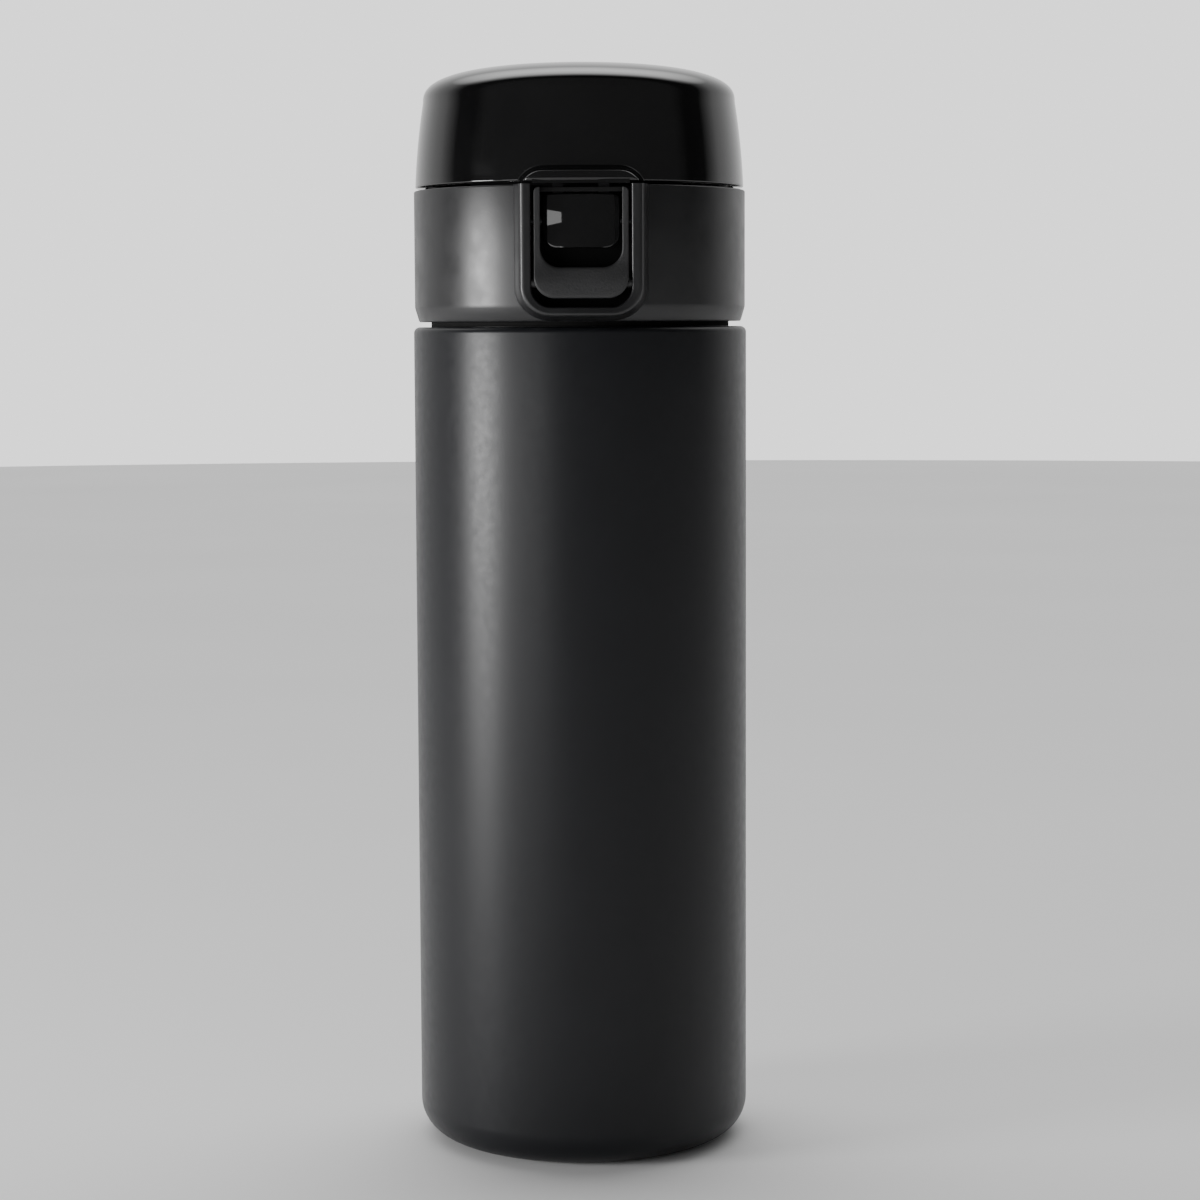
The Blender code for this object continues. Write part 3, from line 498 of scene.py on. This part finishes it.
def body_shell():
    """The painted shell: recessed foot, wall, shoulder with its step, and the bare neck."""
    foot_outer = BODY_RADIUS - BASE_EDGE
    foot_inner = foot_outer - FOOT_WIDTH
    base = (foot_outer, BASE_EDGE)
    edge = (BODY_RADIUS - SHOULDER_EDGE, SHOULDER - SHOULDER_EDGE)
    fillet = (NECK_RADIUS + NECK_FILLET, STEP_TOP + NECK_FILLET)
    lip_inner = NECK_RADIUS - SHELL_WALL
    outline = [
        (foot_inner, BASE_RECESS),
        (foot_inner, 0.25),
        (foot_inner + 0.25, 0),
        *arc(base, BASE_EDGE, 270, 360, 20),
        *[(BODY_RADIUS, z) for z in between(BASE_EDGE, edge[1], 12)],
        *arc(edge, SHOULDER_EDGE, 0, 90, 10),
        (STEP_RADIUS, SHOULDER),
        *arc((STEP_RADIUS - 0.3, STEP_TOP - 0.3), 0.3, 0, 90, 3),
        *arc(fillet, NECK_FILLET, 270, 180, 8),
        (NECK_RADIUS, NECK_TOP - 0.15),
        (NECK_RADIUS - 0.15, NECK_TOP),
        (lip_inner, NECK_TOP),
        *arc(fillet, NECK_FILLET + SHELL_WALL, 180, 270, 6),
        (STEP_RADIUS - SHELL_WALL, STEP_TOP - SHELL_WALL),
        (STEP_RADIUS - SHELL_WALL, SHOULDER - SHELL_WALL),
        *arc(edge, SHOULDER_EDGE - SHELL_WALL, 90, 0, 4),
        *arc(base, BASE_EDGE - SHELL_WALL, 360, 270, 8),
        (foot_inner + SHELL_WALL, SHELL_WALL),
        (foot_inner + SHELL_WALL, BASE_RECESS),
    ]
    fit(lathe("body_shell", outline, 192, 50), "paint", "bottle", "painted_steel", "outer_shell")


def neck_thread(turns=1.72, steps=150):
    """The rolled ridge round the neck, with a rounded crest and faded ends."""
    start = SHOULDER + 5.0
    outlines = []
    for i in range(steps + 1):
        share = i / steps
        angle = 2 * pi * turns * share
        height = start + THREAD_PITCH * turns * share
        fade = min(1.0, share * turns / 0.1, (1 - share) * turns / 0.1)
        depth = (THREAD_DEPTH - 0.05) * max(0.12, fade)
        profile = [(-0.25, -1.0)]
        for k in range(9):
            turn = pi * k / 8
            profile.append((depth * sin(turn) ** 0.8, -0.95 * cos(turn)))
        profile.append((-0.25, 1.0))
        outlines.append(
            [
                ((NECK_RADIUS + r) * cos(angle), (NECK_RADIUS + r) * sin(angle), height + z)
                for r, z in profile
            ]
        )
    fit(loft("neck_thread", outlines, 60), "turned", "bottle", "bare_steel")


# --- collar --------------------------------------------------------------------------------------


def collar_surface(height):
    """The collar's outer radius at a height."""
    rise = max(0.0, (COLLAR_BOTTOM + CHAMFER_HEIGHT - height) / CHAMFER_HEIGHT)
    return COLLAR_RADIUS - CHAMFER * min(1.0, rise)


def bezel_front(x):
    """The depth of the bezel's gently bowed front."""
    return FRONT + BOW_RADIUS - sqrt(BOW_RADIUS**2 - x**2)


def collar_ring():
    """The collar: its wall, chamfer and inner deck, cut for the pocket and the hinge."""
    bore = COLLAR_RADIUS - COLLAR_WALL
    knee = COLLAR_BOTTOM + CHAMFER_HEIGHT
    outline = [
        (COLLAR_RADIUS - CHAMFER - 0.25, COLLAR_BOTTOM),
        (COLLAR_RADIUS - CHAMFER, COLLAR_BOTTOM + 0.25),
        (COLLAR_RADIUS - 0.1, knee - 0.5),
        (COLLAR_RADIUS - 0.02, knee - 0.15),
        (COLLAR_RADIUS, knee + 0.3),
        (COLLAR_RADIUS, (knee + COLLAR_TOP) / 2),
        *arc((COLLAR_RADIUS - 0.3, COLLAR_TOP - 0.3), 0.3, 0, 90, 4),
        *arc((bore + 0.25, COLLAR_TOP - 0.25), 0.25, 90, 180, 3),
        (bore, DECK_TOP + 0.3),
        (bore - 0.3, DECK_TOP),
        (DECK_HOLE + 0.2, DECK_TOP),
        (DECK_HOLE, DECK_TOP - 0.2),
        (DECK_HOLE, DECK_UNDERSIDE),
        (bore, DECK_UNDERSIDE),
        (bore, knee),
        (bore - CHAMFER, COLLAR_BOTTOM),
    ]
    ring = lathe("collar_ring", outline, 192)
    cut(ring, slab_y("pocket", u_path(0.9, COLLAR_TOP + 2), FRONT - 2, POCKET_BACK + 0.6))
    low = HINGE_Z - HINGE_RADIUS - NOTCH_PLAY
    inner = HINGE_Y - HINGE_RADIUS - NOTCH_PLAY
    cut(ring, box("notch", (-EAR_START, inner, low), (EAR_START, 40, COLLAR_TOP + 2)))
    fit(ring, "satin", "cap", "satin_plastic", "collar")


def u_path(offset, top=COLLAR_TOP):
    """The pocket's mouth, moved out by an offset: a U from its top left to its top right."""
    half = POCKET_HALF + offset
    low = POCKET_FLOOR - offset * BLEND_LOW
    wide = POCKET_CORNER + offset
    tall = POCKET_CORNER + offset * BLEND_LOW
    middle = low + tall
    left = [(-half, top + (middle - top) * i / 14) for i in range(14)]
    corner = [(-(half - wide) - wide * cos(a), middle - tall * sin(a)) for a in quarter(16)]
    across = [(-(half - wide) * (1 - 2 * i / 14), low) for i in range(1, 14)]
    right = [(-x, z) for x, z in reversed([*left, *corner])]
    return [*left, *corner, *across, *right]


def bezel():
    """The raised rim and the pocket's walls: one section swept round the pocket's U."""

    def surface(x, z):
        return -sqrt(collar_surface(z) ** 2 - min(abs(x), 20) ** 2)

    stations = [(RIM + BLEND, lambda x, z: surface(x, z) + 0.06)]
    for i in range(1, 11):
        share = i / 10
        rise = 0.5 - 0.5 * cos(pi * share**0.85)
        stations.append(
            (
                RIM + BLEND * (1 - share),
                lambda x, z, rise=rise: surface(x, z) + (bezel_front(x) + 0.05 - surface(x, z)) * rise,
            )
        )
    stations += [
        (RIM - 0.25, lambda x, z: bezel_front(x)),
        (RIM - 0.6, lambda x, z: bezel_front(x) + 0.07),
        (0.7, lambda x, z: bezel_front(x) + 0.16),
    ]
    for a in quarter(5):
        stations.append((0.45 * (1 - sin(a)), lambda x, z, a=a: bezel_front(x) + 0.2 + 0.45 * (1 - cos(a))))
    stations += [
        (0.0, lambda x, z: FRONT + 4),
        (0.0, lambda x, z: POCKET_BACK),
        (TUB_WALL - 0.1, lambda x, z: POCKET_BACK),
        (TUB_WALL - 0.1, lambda x, z: surface(x, z) + 1.0),
        (RIM + BLEND, lambda x, z: surface(x, z) + 1.0),
    ]
    loops = []
    for offset, depth in stations:
        loops.append([(x, depth(x, z), z) for x, z in u_path(offset)])
    sections = [list(section) for section in zip(*loops)]
    fit(loft("latch_bezel", sections, 50), "satin", "cap", "satin_plastic")
    # The pocket's back wall is coloured near black: painted shade.
    back = slab_y("pocket_back", u_path(TUB_WALL - 0.2), POCKET_BACK - 0.02, POCKET_BACK + TUB_WALL - 0.05)
    fit(back, "shaded", "cap", "satin_plastic")


def boss_outline(direction, root, shelf):
    """The hinge's round with a wedge that runs into the wall, down with -1 or up with 1."""
    around = arc((HINGE_Y, HINGE_Z), HINGE_RADIUS - 0.02, 0, -180 * direction, 24)
    return [*around, (root, shelf), (root, HINGE_Z + direction * HINGE_BOSS)]


def hinge_bracket():
    """The collar's side of the hinge: a boss with the ears that hold the pin."""
    outline = boss_outline(-1, COLLAR_RADIUS - COLLAR_WALL - 1.5, COLLAR_TOP - 0.5)
    boss = slab_x("hinge_bracket", outline, -EAR_END, EAR_END)
    low = HINGE_Z - HINGE_RADIUS - NOTCH_PLAY
    inner = HINGE_Y - HINGE_RADIUS - NOTCH_PLAY
    cut(boss, box("gap", (-EAR_START, inner, low), (EAR_START, 45, HINGE_Z + 5)))
    cut(boss, pin_hole())
    soften(boss, 0.3)
    fit(boss, "satin", "cap", "satin_plastic")


def pin_hole():
    """The helper that cuts the hinge pin's hole."""
    outline = arc((HINGE_Y, HINGE_Z), PIN_HOLE, 0, 360, 32)[:-1]
    return slab_x("pin_hole", outline, -20, 20)


# --- lid -----------------------------------------------------------------------------------------


def lid_surface(height):
    """The lid's outer radius at a height on its side."""
    share = max(0.0, (height - LID_BOTTOM) / (CROWN_BASE - LID_BOTTOM))
    return LID_RADIUS - LID_TAPER * (0.4 * share + 0.6 * share**2)


def lid_side(inset, low, sides, crowns):
    """The lid's outline, or an inner one, from its lower edge to the middle of its crown."""
    reach = LID_RADIUS - LID_TAPER - inset
    points = [(LID_RADIUS - inset, low)]
    for i in range(1, sides + 1):
        height = low + (CROWN_BASE - low) * i / sides
        points.append((lid_surface(height) - inset, height))
    for i in range(1, crowns + 1):
        turn = pi / 2 * i / crowns
        across = reach * cos(turn) ** (2 / CROWN_POWER) if i < crowns else 0
        points.append((across, CROWN_BASE + (CROWN_HEIGHT - inset) * sin(turn) ** (2 / CROWN_POWER)))
    return points


def lid_dome():
    """The lid's hollow dome, with a support loop just above its lower edge."""
    outside = lid_side(0, LID_BOTTOM + 0.35, 12, 30)
    inside = lid_side(LID_WALL, LID_BOTTOM, 5, 12)
    edge = arc((LID_RADIUS - 0.35, LID_BOTTOM + 0.35), 0.35, 270, 345, 5)
    crease = LID_BOTTOM + 0.45
    outside.insert(1, (lid_surface(crease), crease))
    dome = lathe("lid_dome", [*edge, *outside, *reversed(inside)], 192)
    reach = EAR_END + NOTCH_PLAY
    high = HINGE_Z + HINGE_RADIUS + NOTCH_PLAY
    inner = HINGE_Y - HINGE_RADIUS - NOTCH_PLAY
    cut(dome, box("notch", (-reach, inner, LID_BOTTOM - 2), (reach, 45, high)))
    fit(dome, "gloss", "lid", "gloss_plastic", "lid_shell")


def lid_boss():
    """The lid's side of the hinge: two knuckles with the spring's slot between them."""
    outline = boss_outline(1, LID_RADIUS - LID_WALL - 1.0, LID_BOTTOM + 0.9)
    boss = slab_x("lid_boss", outline, -KNUCKLE_END, KNUCKLE_END)
    high = HINGE_Z + HINGE_RADIUS + 0.2
    low = (-KNUCKLE_START, HINGE_Y - HINGE_RADIUS - 1, HINGE_Z - 5)
    cut(boss, box("slot", low, (KNUCKLE_START, 45, high)))
    cut(boss, pin_hole())
    soften(boss, 0.3)
    fit(boss, "gloss", "lid", "gloss_plastic")


def brow():
    """The raised brow over the latch, which carries the bezel's lines up onto the lid."""
    columns, rows = 96, 26
    reach = BROW_HALF + BROW_BLEND + 0.35
    top = BROW_TOP + BROW_BLEND + 0.3

    def outside(x, z):
        """The distance outside the brow's outline."""
        across = abs(x) - (BROW_HALF - BROW_CORNER)
        above = z - (BROW_TOP - BROW_CORNER)
        if across > 0 and above > 0:
            return sqrt(across**2 + above**2) - BROW_CORNER
        return max(across, above) - BROW_CORNER

    front, back = [], []
    for j in range(rows + 1):
        z = LID_BOTTOM + (top - LID_BOTTOM) * j / rows
        for i in range(columns + 1):
            x = -reach + 2 * reach * i / columns
            wall = -sqrt(lid_surface(z) ** 2 - x**2)
            share = max(0.0, min(1.0, outside(x, z) / BROW_BLEND))
            rise = 0.5 + 0.5 * cos(pi * share)
            depth = wall + 0.07 + (bezel_front(x) + 0.1 - wall - 0.07) * rise
            edge = max(0.0, 0.3 - (z - LID_BOTTOM))
            front.append((x, depth + edge * rise * 0.8, z))
            back.append((x, wall + LID_WALL * 0.6, z))
    shape = bmesh.new()
    sheets = [[shape.verts.new(Vector(p) * MM) for p in sheet] for sheet in (front, back)]
    wide = columns + 1
    for sheet in sheets:
        for j in range(rows):
            for i in range(columns):
                a = j * wide + i
                shape.faces.new((sheet[a], sheet[a + 1], sheet[a + wide + 1], sheet[a + wide]))
    rim = list(range(wide))
    rim += [j * wide + columns for j in range(1, rows + 1)]
    rim += [rows * wide + i for i in range(columns - 1, -1, -1)]
    rim += [j * wide for j in range(rows - 1, 0, -1)]
    for a, b in zip(rim, rim[1:] + rim[:1]):
        shape.faces.new((sheets[0][a], sheets[0][b], sheets[1][b], sheets[1][a]))
    fit(add_object("lid_brow", shape, 50), "gloss", "lid", "gloss_plastic")


def brow_lip():
    """The lip under the brow that closes the top of the latch's pocket."""
    half = POCKET_HALF - 0.35
    low, high = COLLAR_TOP + 0.02, LID_BOTTOM + 0.6
    outline = [(-half, low), (half, low), (half, high), (-half, high)]
    points = []
    for depth in (1.3, 0.14):
        loop = []
        for (x0, z0), (x1, z1) in zip(outline, outline[1:] + outline[:1]):
            for k in range(12):
                x = x0 + (x1 - x0) * k / 12
                loop.append((x, bezel_front(x) + depth, z0 + (z1 - z0) * k / 12))
        points.append(loop)
    fit(loft("brow_lip", points), "gloss", "lid", "gloss_plastic")


# --- latch ---------------------------------------------------------------------------------------


def button():
    """The gloss rocker: bowed across, with a waisted flat band and faces that fall away from it."""
    half = BUTTON_HIGH.x
    low, high = BUTTON_LOW.z, BUTTON_HIGH.z
    middle = (low + high) / 2 + 0.7
    face = BUTTON_LOW.y
    edge = 0.6

    def front_depth(x, z):
        band = 0.3 + 1.6 * abs(x) / half
        above = max(0.0, z - middle - band)
        below = max(0.0, middle - z - band)
        return face + 0.32 + 1.5 * (x / half) ** 2 + 0.14 * above - 0.07 * below

    def outline(inset):
        corner = BUTTON_CORNER - inset * 0.6
        sizes = (half - inset, low + inset, high - inset, corner, BUTTON_TOP_CORNER)
        return rounded_outline(*sizes, (10, 6, 12, 12))

    rings = [[(x, face + BUTTON_DEPTH, z) for x, z in outline(0)]]
    for inset, sink in ((0.0, 0.14), (0.1, 0.01), (0.3, 0.0), (edge, 0.0)):
        rings.append([(x, front_depth(x, z) + sink, z) for x, z in outline(inset)])
    rim = outline(edge)
    for step in range(1, 30):
        share = 1 - step / 30
        points = [(x * share, middle + (z - middle) * share) for x, z in rim]
        rings.append([(x, front_depth(x, z), z) for x, z in points])
    fit(loft("button_face", rings, 50), "gloss", "button", "gloss_plastic", "push_button")


def button_catch():
    """The hooked nose behind the button's top."""
    high, back = BUTTON_HIGH.z, BUTTON_LOW.y + BUTTON_DEPTH
    nose = [
        (back - 0.5, high - 1.6),
        (back + 1.1, high - 1.6),
        (back + 1.1, high - 1.0),
        (back + 0.5, high - 0.4),
        (back - 0.5, high - 0.4),
    ]
    catch = slab_x("button_catch", nose, -CATCH_HALF, CATCH_HALF)
    soften(catch, 0.12, 2)
    fit(catch, "gloss", "button", "gloss_plastic")


def stirrup():
    """The lock ring: slim arms and a broad bar below that leans out."""

    def lean(z):
        """How far the bar's front stands forward at a height."""
        share = max(0.0, min(1.0, (RING_OPENING + 1.5 - z) / 5.0))
        return 0.75 * share * share * (3 - 2 * share)

    def blend(share):
        """The loop a share of the way from the ring's outside to its opening."""
        steps = (12, 4, 8, 10)
        outer = rounded_outline(RING_HALF, RING_LOW.z, RING_TOP, 4.0, 0.9, steps)
        inner = rounded_outline(OPENING_HALF, RING_OPENING, RING_TOP - CROSSBAR, 3.8, 0.4, steps)
        return [(a + (c - a) * share, b + (d - b) * share) for (a, b), (c, d) in zip(outer, inner)]

    def front_loop(share, sink=0.0):
        """A loop on the ring's front, sunk where the edge rounds over."""
        return [(x, RING_FRONT - lean(z) + sink, z) for x, z in blend(share)]

    round_over = 0.28
    back = RING_FRONT + RING_DEPTH
    rings = [[(x, back, z) for x, z in blend(0)]]
    for turn in quarter(3):
        rings.append(front_loop(0.12 * (1 - cos(turn)), round_over * (1 - sin(turn))))
    for share in (0.25, 0.4, 0.55, 0.7, 0.8):
        rings.append(front_loop(share))
    for turn in reversed(quarter(3)):
        rings.append(front_loop(1 - 0.12 * (1 - cos(turn)), round_over * (1 - sin(turn))))
    rings.append([(x, back, z) for x, z in blend(1)])
    ring = loft("lock_stirrup", rings, 50, ring=True)
    low = (-7.9, RING_FRONT - 1.5, RING_TOP - CROSSBAR - 0.3)
    cut(ring, box("setback", low, (7.9, back + 1, RING_TOP + 1)))
    fit(ring, "matte", "lock_ring", "matte_plastic", "lock_ring")


def lock_crossbar():
    """The set-back bar across the top of the lock ring, coloured near black as painted shade."""
    back = RING_FRONT + RING_DEPTH
    bar = box("lock_crossbar", (-8.0, RING_FRONT + 1.0, RING_TOP - CROSSBAR), (8.0, back, RING_TOP))
    soften(bar, 0.12, 2)
    fit(bar, "shaded", "lock_ring", "matte_plastic")


def lock_tab():
    """The tab behind the crossbar, coloured near black as painted shade."""
    start, end = RING_FRONT + RING_DEPTH - 0.4, RING_HIGH.y
    low = RING_TOP - CROSSBAR
    outline = [(start, low), (end, low), (end, RING_TOP - 0.3), (start, RING_TOP - 0.1)]
    tab = slab_x("lock_tab", outline, -TAB_HALF, TAB_HALF)
    soften(tab, 0.12, 2)
    fit(tab, "shaded", "lock_ring", "matte_plastic")


def lock_stubs():
    """The two domed pivots at the lock ring's sides."""
    centre = (RING_FRONT + RING_DEPTH / 2, POCKET_FLOOR + STUB_RISE)
    end = RING_HIGH.x
    profile = [
        (STUB_START, STUB_RADIUS - 0.12),
        (STUB_START + 0.12, STUB_RADIUS),
        (end - 0.34, STUB_RADIUS),
        (end - 0.1, STUB_RADIUS - 0.14),
        (end, STUB_RADIUS - 0.42),
    ]
    for side, word in ((-1, "left"), (1, "right")):
        loops = []
        for x, radius in profile:
            loops.append([(side * x, y, z) for y, z in arc(centre, radius, 0, 360, 24)[:-1]])
        fit(loft(f"lock_stub_{word}", loops), "matte", "lock_ring", "matte_plastic")


# --- drinking side -------------------------------------------------------------------------------


def spout():
    """The mouthpiece: sleeve, barrel, and the smooth drinking rim."""
    low, top = SPOUT_LOW.z, SPOUT_HIGH.z
    barrel = SPOUT_HIGH.x
    floor = low + 5.0
    under, through = DECK_UNDERSIDE - 0.3, DECK_HOLE - 0.3
    rim = (RIM_RADIUS, top - RIM_ROUND)
    outline = [
        (SPOUT_BORE, low),
        (SPOUT_BORE + 0.3, low),
        (SLEEVE_RADIUS - 0.2, low),
        (SLEEVE_RADIUS, low + 0.2),
        (SLEEVE_RADIUS, floor),
        (barrel - 0.2, floor),
        (barrel, floor + 0.2),
        (barrel, under),
        (through, under),
        (through, DECK_TOP + 0.8),
        (DECK_HOLE - 0.5, DECK_TOP + 1.6),
        (RIM_RADIUS + 1.9, top - 4.2),
        *arc(rim, RIM_ROUND, 10, 170, 12),
        (RIM_RADIUS - 1.5, top - 2.6),
        (SEAT_RADIUS + 0.5, DECK_TOP + 4.6),
        (SEAT_RADIUS, DECK_TOP + 3.6),
        (SEAT_RADIUS, DECK_TOP + 0.6),
        (SPOUT_BORE, DECK_TOP - 1),
    ]
    fit(lathe("drinking_spout", outline, 128, 40), "inner", "cap", "inner_plastic", "mouthpiece")


CAD_LOOKS = {
    "inner_vessel": "turned",
    "radiation_foil": "copper",
    "outer_bottom": "turned",
    "vacuum_seal": "frit",
    "getter": "alloy",
    "base_cover": "turned",
    "thread_ring": "inner",
    "hinge_pin": "turned",
    "lid_spring": "drawn",
    "button_pin": "blackened",
    "button_spring": "drawn",
    "neck_gasket": "silicone",
    "lid_liner": "inner",
    "lid_gasket": "silicone",
}


def dress_cad():
    """Gives the CAD nodes that are shown as they are their materials."""
    for node, look in CAD_LOOKS.items():
        dress(frame["nodes"][node], look)


# --- stage ---------------------------------------------------------------------------------------


def floor():
    """A plain pale floor."""
    bpy.ops.mesh.primitive_circle_add(vertices=96, radius=3.0, fill_type="NGON", location=(0, 0, -0.0002))
    ground = bpy.context.object
    ground.name = "floor"
    look = Look("pale_floor", 0.85)
    look.colour(look.ramp(look.noise(3, 3), [(0.3, (0.86, 0.86, 0.86)), (0.7, (0.9, 0.9, 0.9))]))
    ground.data.materials.append(look.made)


def world():
    """Light from a pale backdrop and dark sides; the camera itself sees one plain pale grey."""
    made = bpy.data.worlds.new("studio")
    bpy.context.scene.world = made
    made.use_nodes = True
    nodes, links = made.node_tree.nodes, made.node_tree.links
    nodes.clear()
    direction = nodes.new("ShaderNodeTexCoord")
    axes = nodes.new("ShaderNodeSeparateXYZ")
    links.new(direction.outputs["Generated"], axes.inputs["Vector"])

    def band(axis, stops):
        """Brightness against one axis of the direction, which runs from -1 to 1."""
        scale = nodes.new("ShaderNodeMapRange")
        scale.inputs["From Min"].default_value = -1
        links.new(axes.outputs[axis], scale.inputs["Value"])
        ramp = nodes.new("ShaderNodeValToRGB")
        line = ramp.color_ramp
        while len(line.elements) < len(stops):
            line.elements.new(0.5)
        for element, (level, value) in zip(line.elements, stops):
            element.position = (level + 1) / 2
            element.color = (value, value, value, 1)
        links.new(scale.outputs["Result"], ramp.inputs["Fac"])
        return ramp.outputs["Color"]

    round_flask = band("Y", [(-1, 0.15), (-0.3, 0.13), (-0.12, 0.035), (0.14, 0.04), (0.42, 0.75), (1, 1.05)])
    behind = band("Y", [(0.05, 0), (0.4, 1)])
    overhead = band("Z", [(0.55, 0), (0.8, 1)])
    glow = nodes.new("ShaderNodeMath")
    glow.operation = "MULTIPLY"
    links.new(behind, glow.inputs[0])
    links.new(overhead, glow.inputs[1])
    total = nodes.new("ShaderNodeMath")
    total.operation = "MULTIPLY_ADD"
    total.inputs[1].default_value = 3.0
    links.new(glow.outputs[0], total.inputs[0])
    links.new(round_flask, total.inputs[2])
    out = nodes.new("ShaderNodeOutputWorld")
    mix = nodes.new("ShaderNodeMixShader")
    path = nodes.new("ShaderNodeLightPath")
    lit, pale = nodes.new("ShaderNodeBackground"), nodes.new("ShaderNodeBackground")
    links.new(total.outputs[0], lit.inputs["Strength"])
    lit.inputs["Color"].default_value = (1, 1, 1, 1)
    pale.inputs["Color"].default_value = (1, 1, 1, 1)
    pale.inputs["Strength"].default_value = 1.6
    links.new(path.outputs["Is Camera Ray"], mix.inputs["Fac"])
    links.new(lit.outputs[0], mix.inputs[1])
    links.new(pale.outputs[0], mix.inputs[2])
    links.new(mix.outputs[0], out.inputs["Surface"])


def lamp(name, azimuth, distance, height, width, tall, power, aim):
    """A soft box at an azimuth round the flask: 0 is behind the camera, -90 is on its left."""
    light = bpy.data.lights.new(name, "AREA")
    light.shape = "RECTANGLE"
    light.size, light.size_y = width, tall
    light.energy = power
    made = bpy.data.objects.new(name, light)
    turn = radians(azimuth)
    made.location = (distance * sin(turn), -distance * cos(turn), height)
    towards = Vector((0, 0, aim)) - made.location
    made.rotation_euler = towards.to_track_quat("-Z", "Y").to_euler()
    made.visible_camera = False
    bpy.context.scene.collection.objects.link(made)


def lights():
    """The two soft boxes on the flask's left."""
    lamp("key_strip", -70, 0.8, 0.15, 0.25, 0.2, 5.4, 0.14)
    lamp("left_fill", -38, 0.8, 0.15, 0.46, 0.2, 0.95, 0.14)


def camera():
    """The camera: in front of the flask, above its middle and tilted down a little."""
    lens = bpy.data.cameras.new("camera")
    lens.sensor_width = SENSOR_WIDTH
    lens.lens = FOCAL_LENGTH
    lens.clip_start = 0.01
    made = bpy.data.objects.new("camera", lens)
    pitch, roll, turn = radians(CAMERA_PITCH), radians(CAMERA_ROLL), radians(CAMERA_TURN)
    right = Vector((1, 0, 0))
    up = Vector((0, sin(pitch), cos(pitch)))
    back = right.cross(up)
    axes = Matrix((right, up, back)).transposed().to_4x4()
    place = Matrix.Translation(Vector(CAMERA_PLACE) * MM)
    made.matrix_world = Matrix.Rotation(turn, 4, "Z") @ place @ axes @ Matrix.Rotation(roll, 4, "Z")
    bpy.context.scene.collection.objects.link(made)
    bpy.context.scene.camera = made


def build():
    """Makes every piece, then the floor and the light."""
    camera()
    body_shell()
    neck_thread()
    collar_ring()
    bezel()
    hinge_bracket()
    lid_dome()
    lid_boss()
    brow()
    brow_lip()
    button()
    button_catch()
    stirrup()
    lock_crossbar()
    lock_tab()
    lock_stubs()
    spout()
    dress_cad()
    floor()
    world()
    lights()


build()
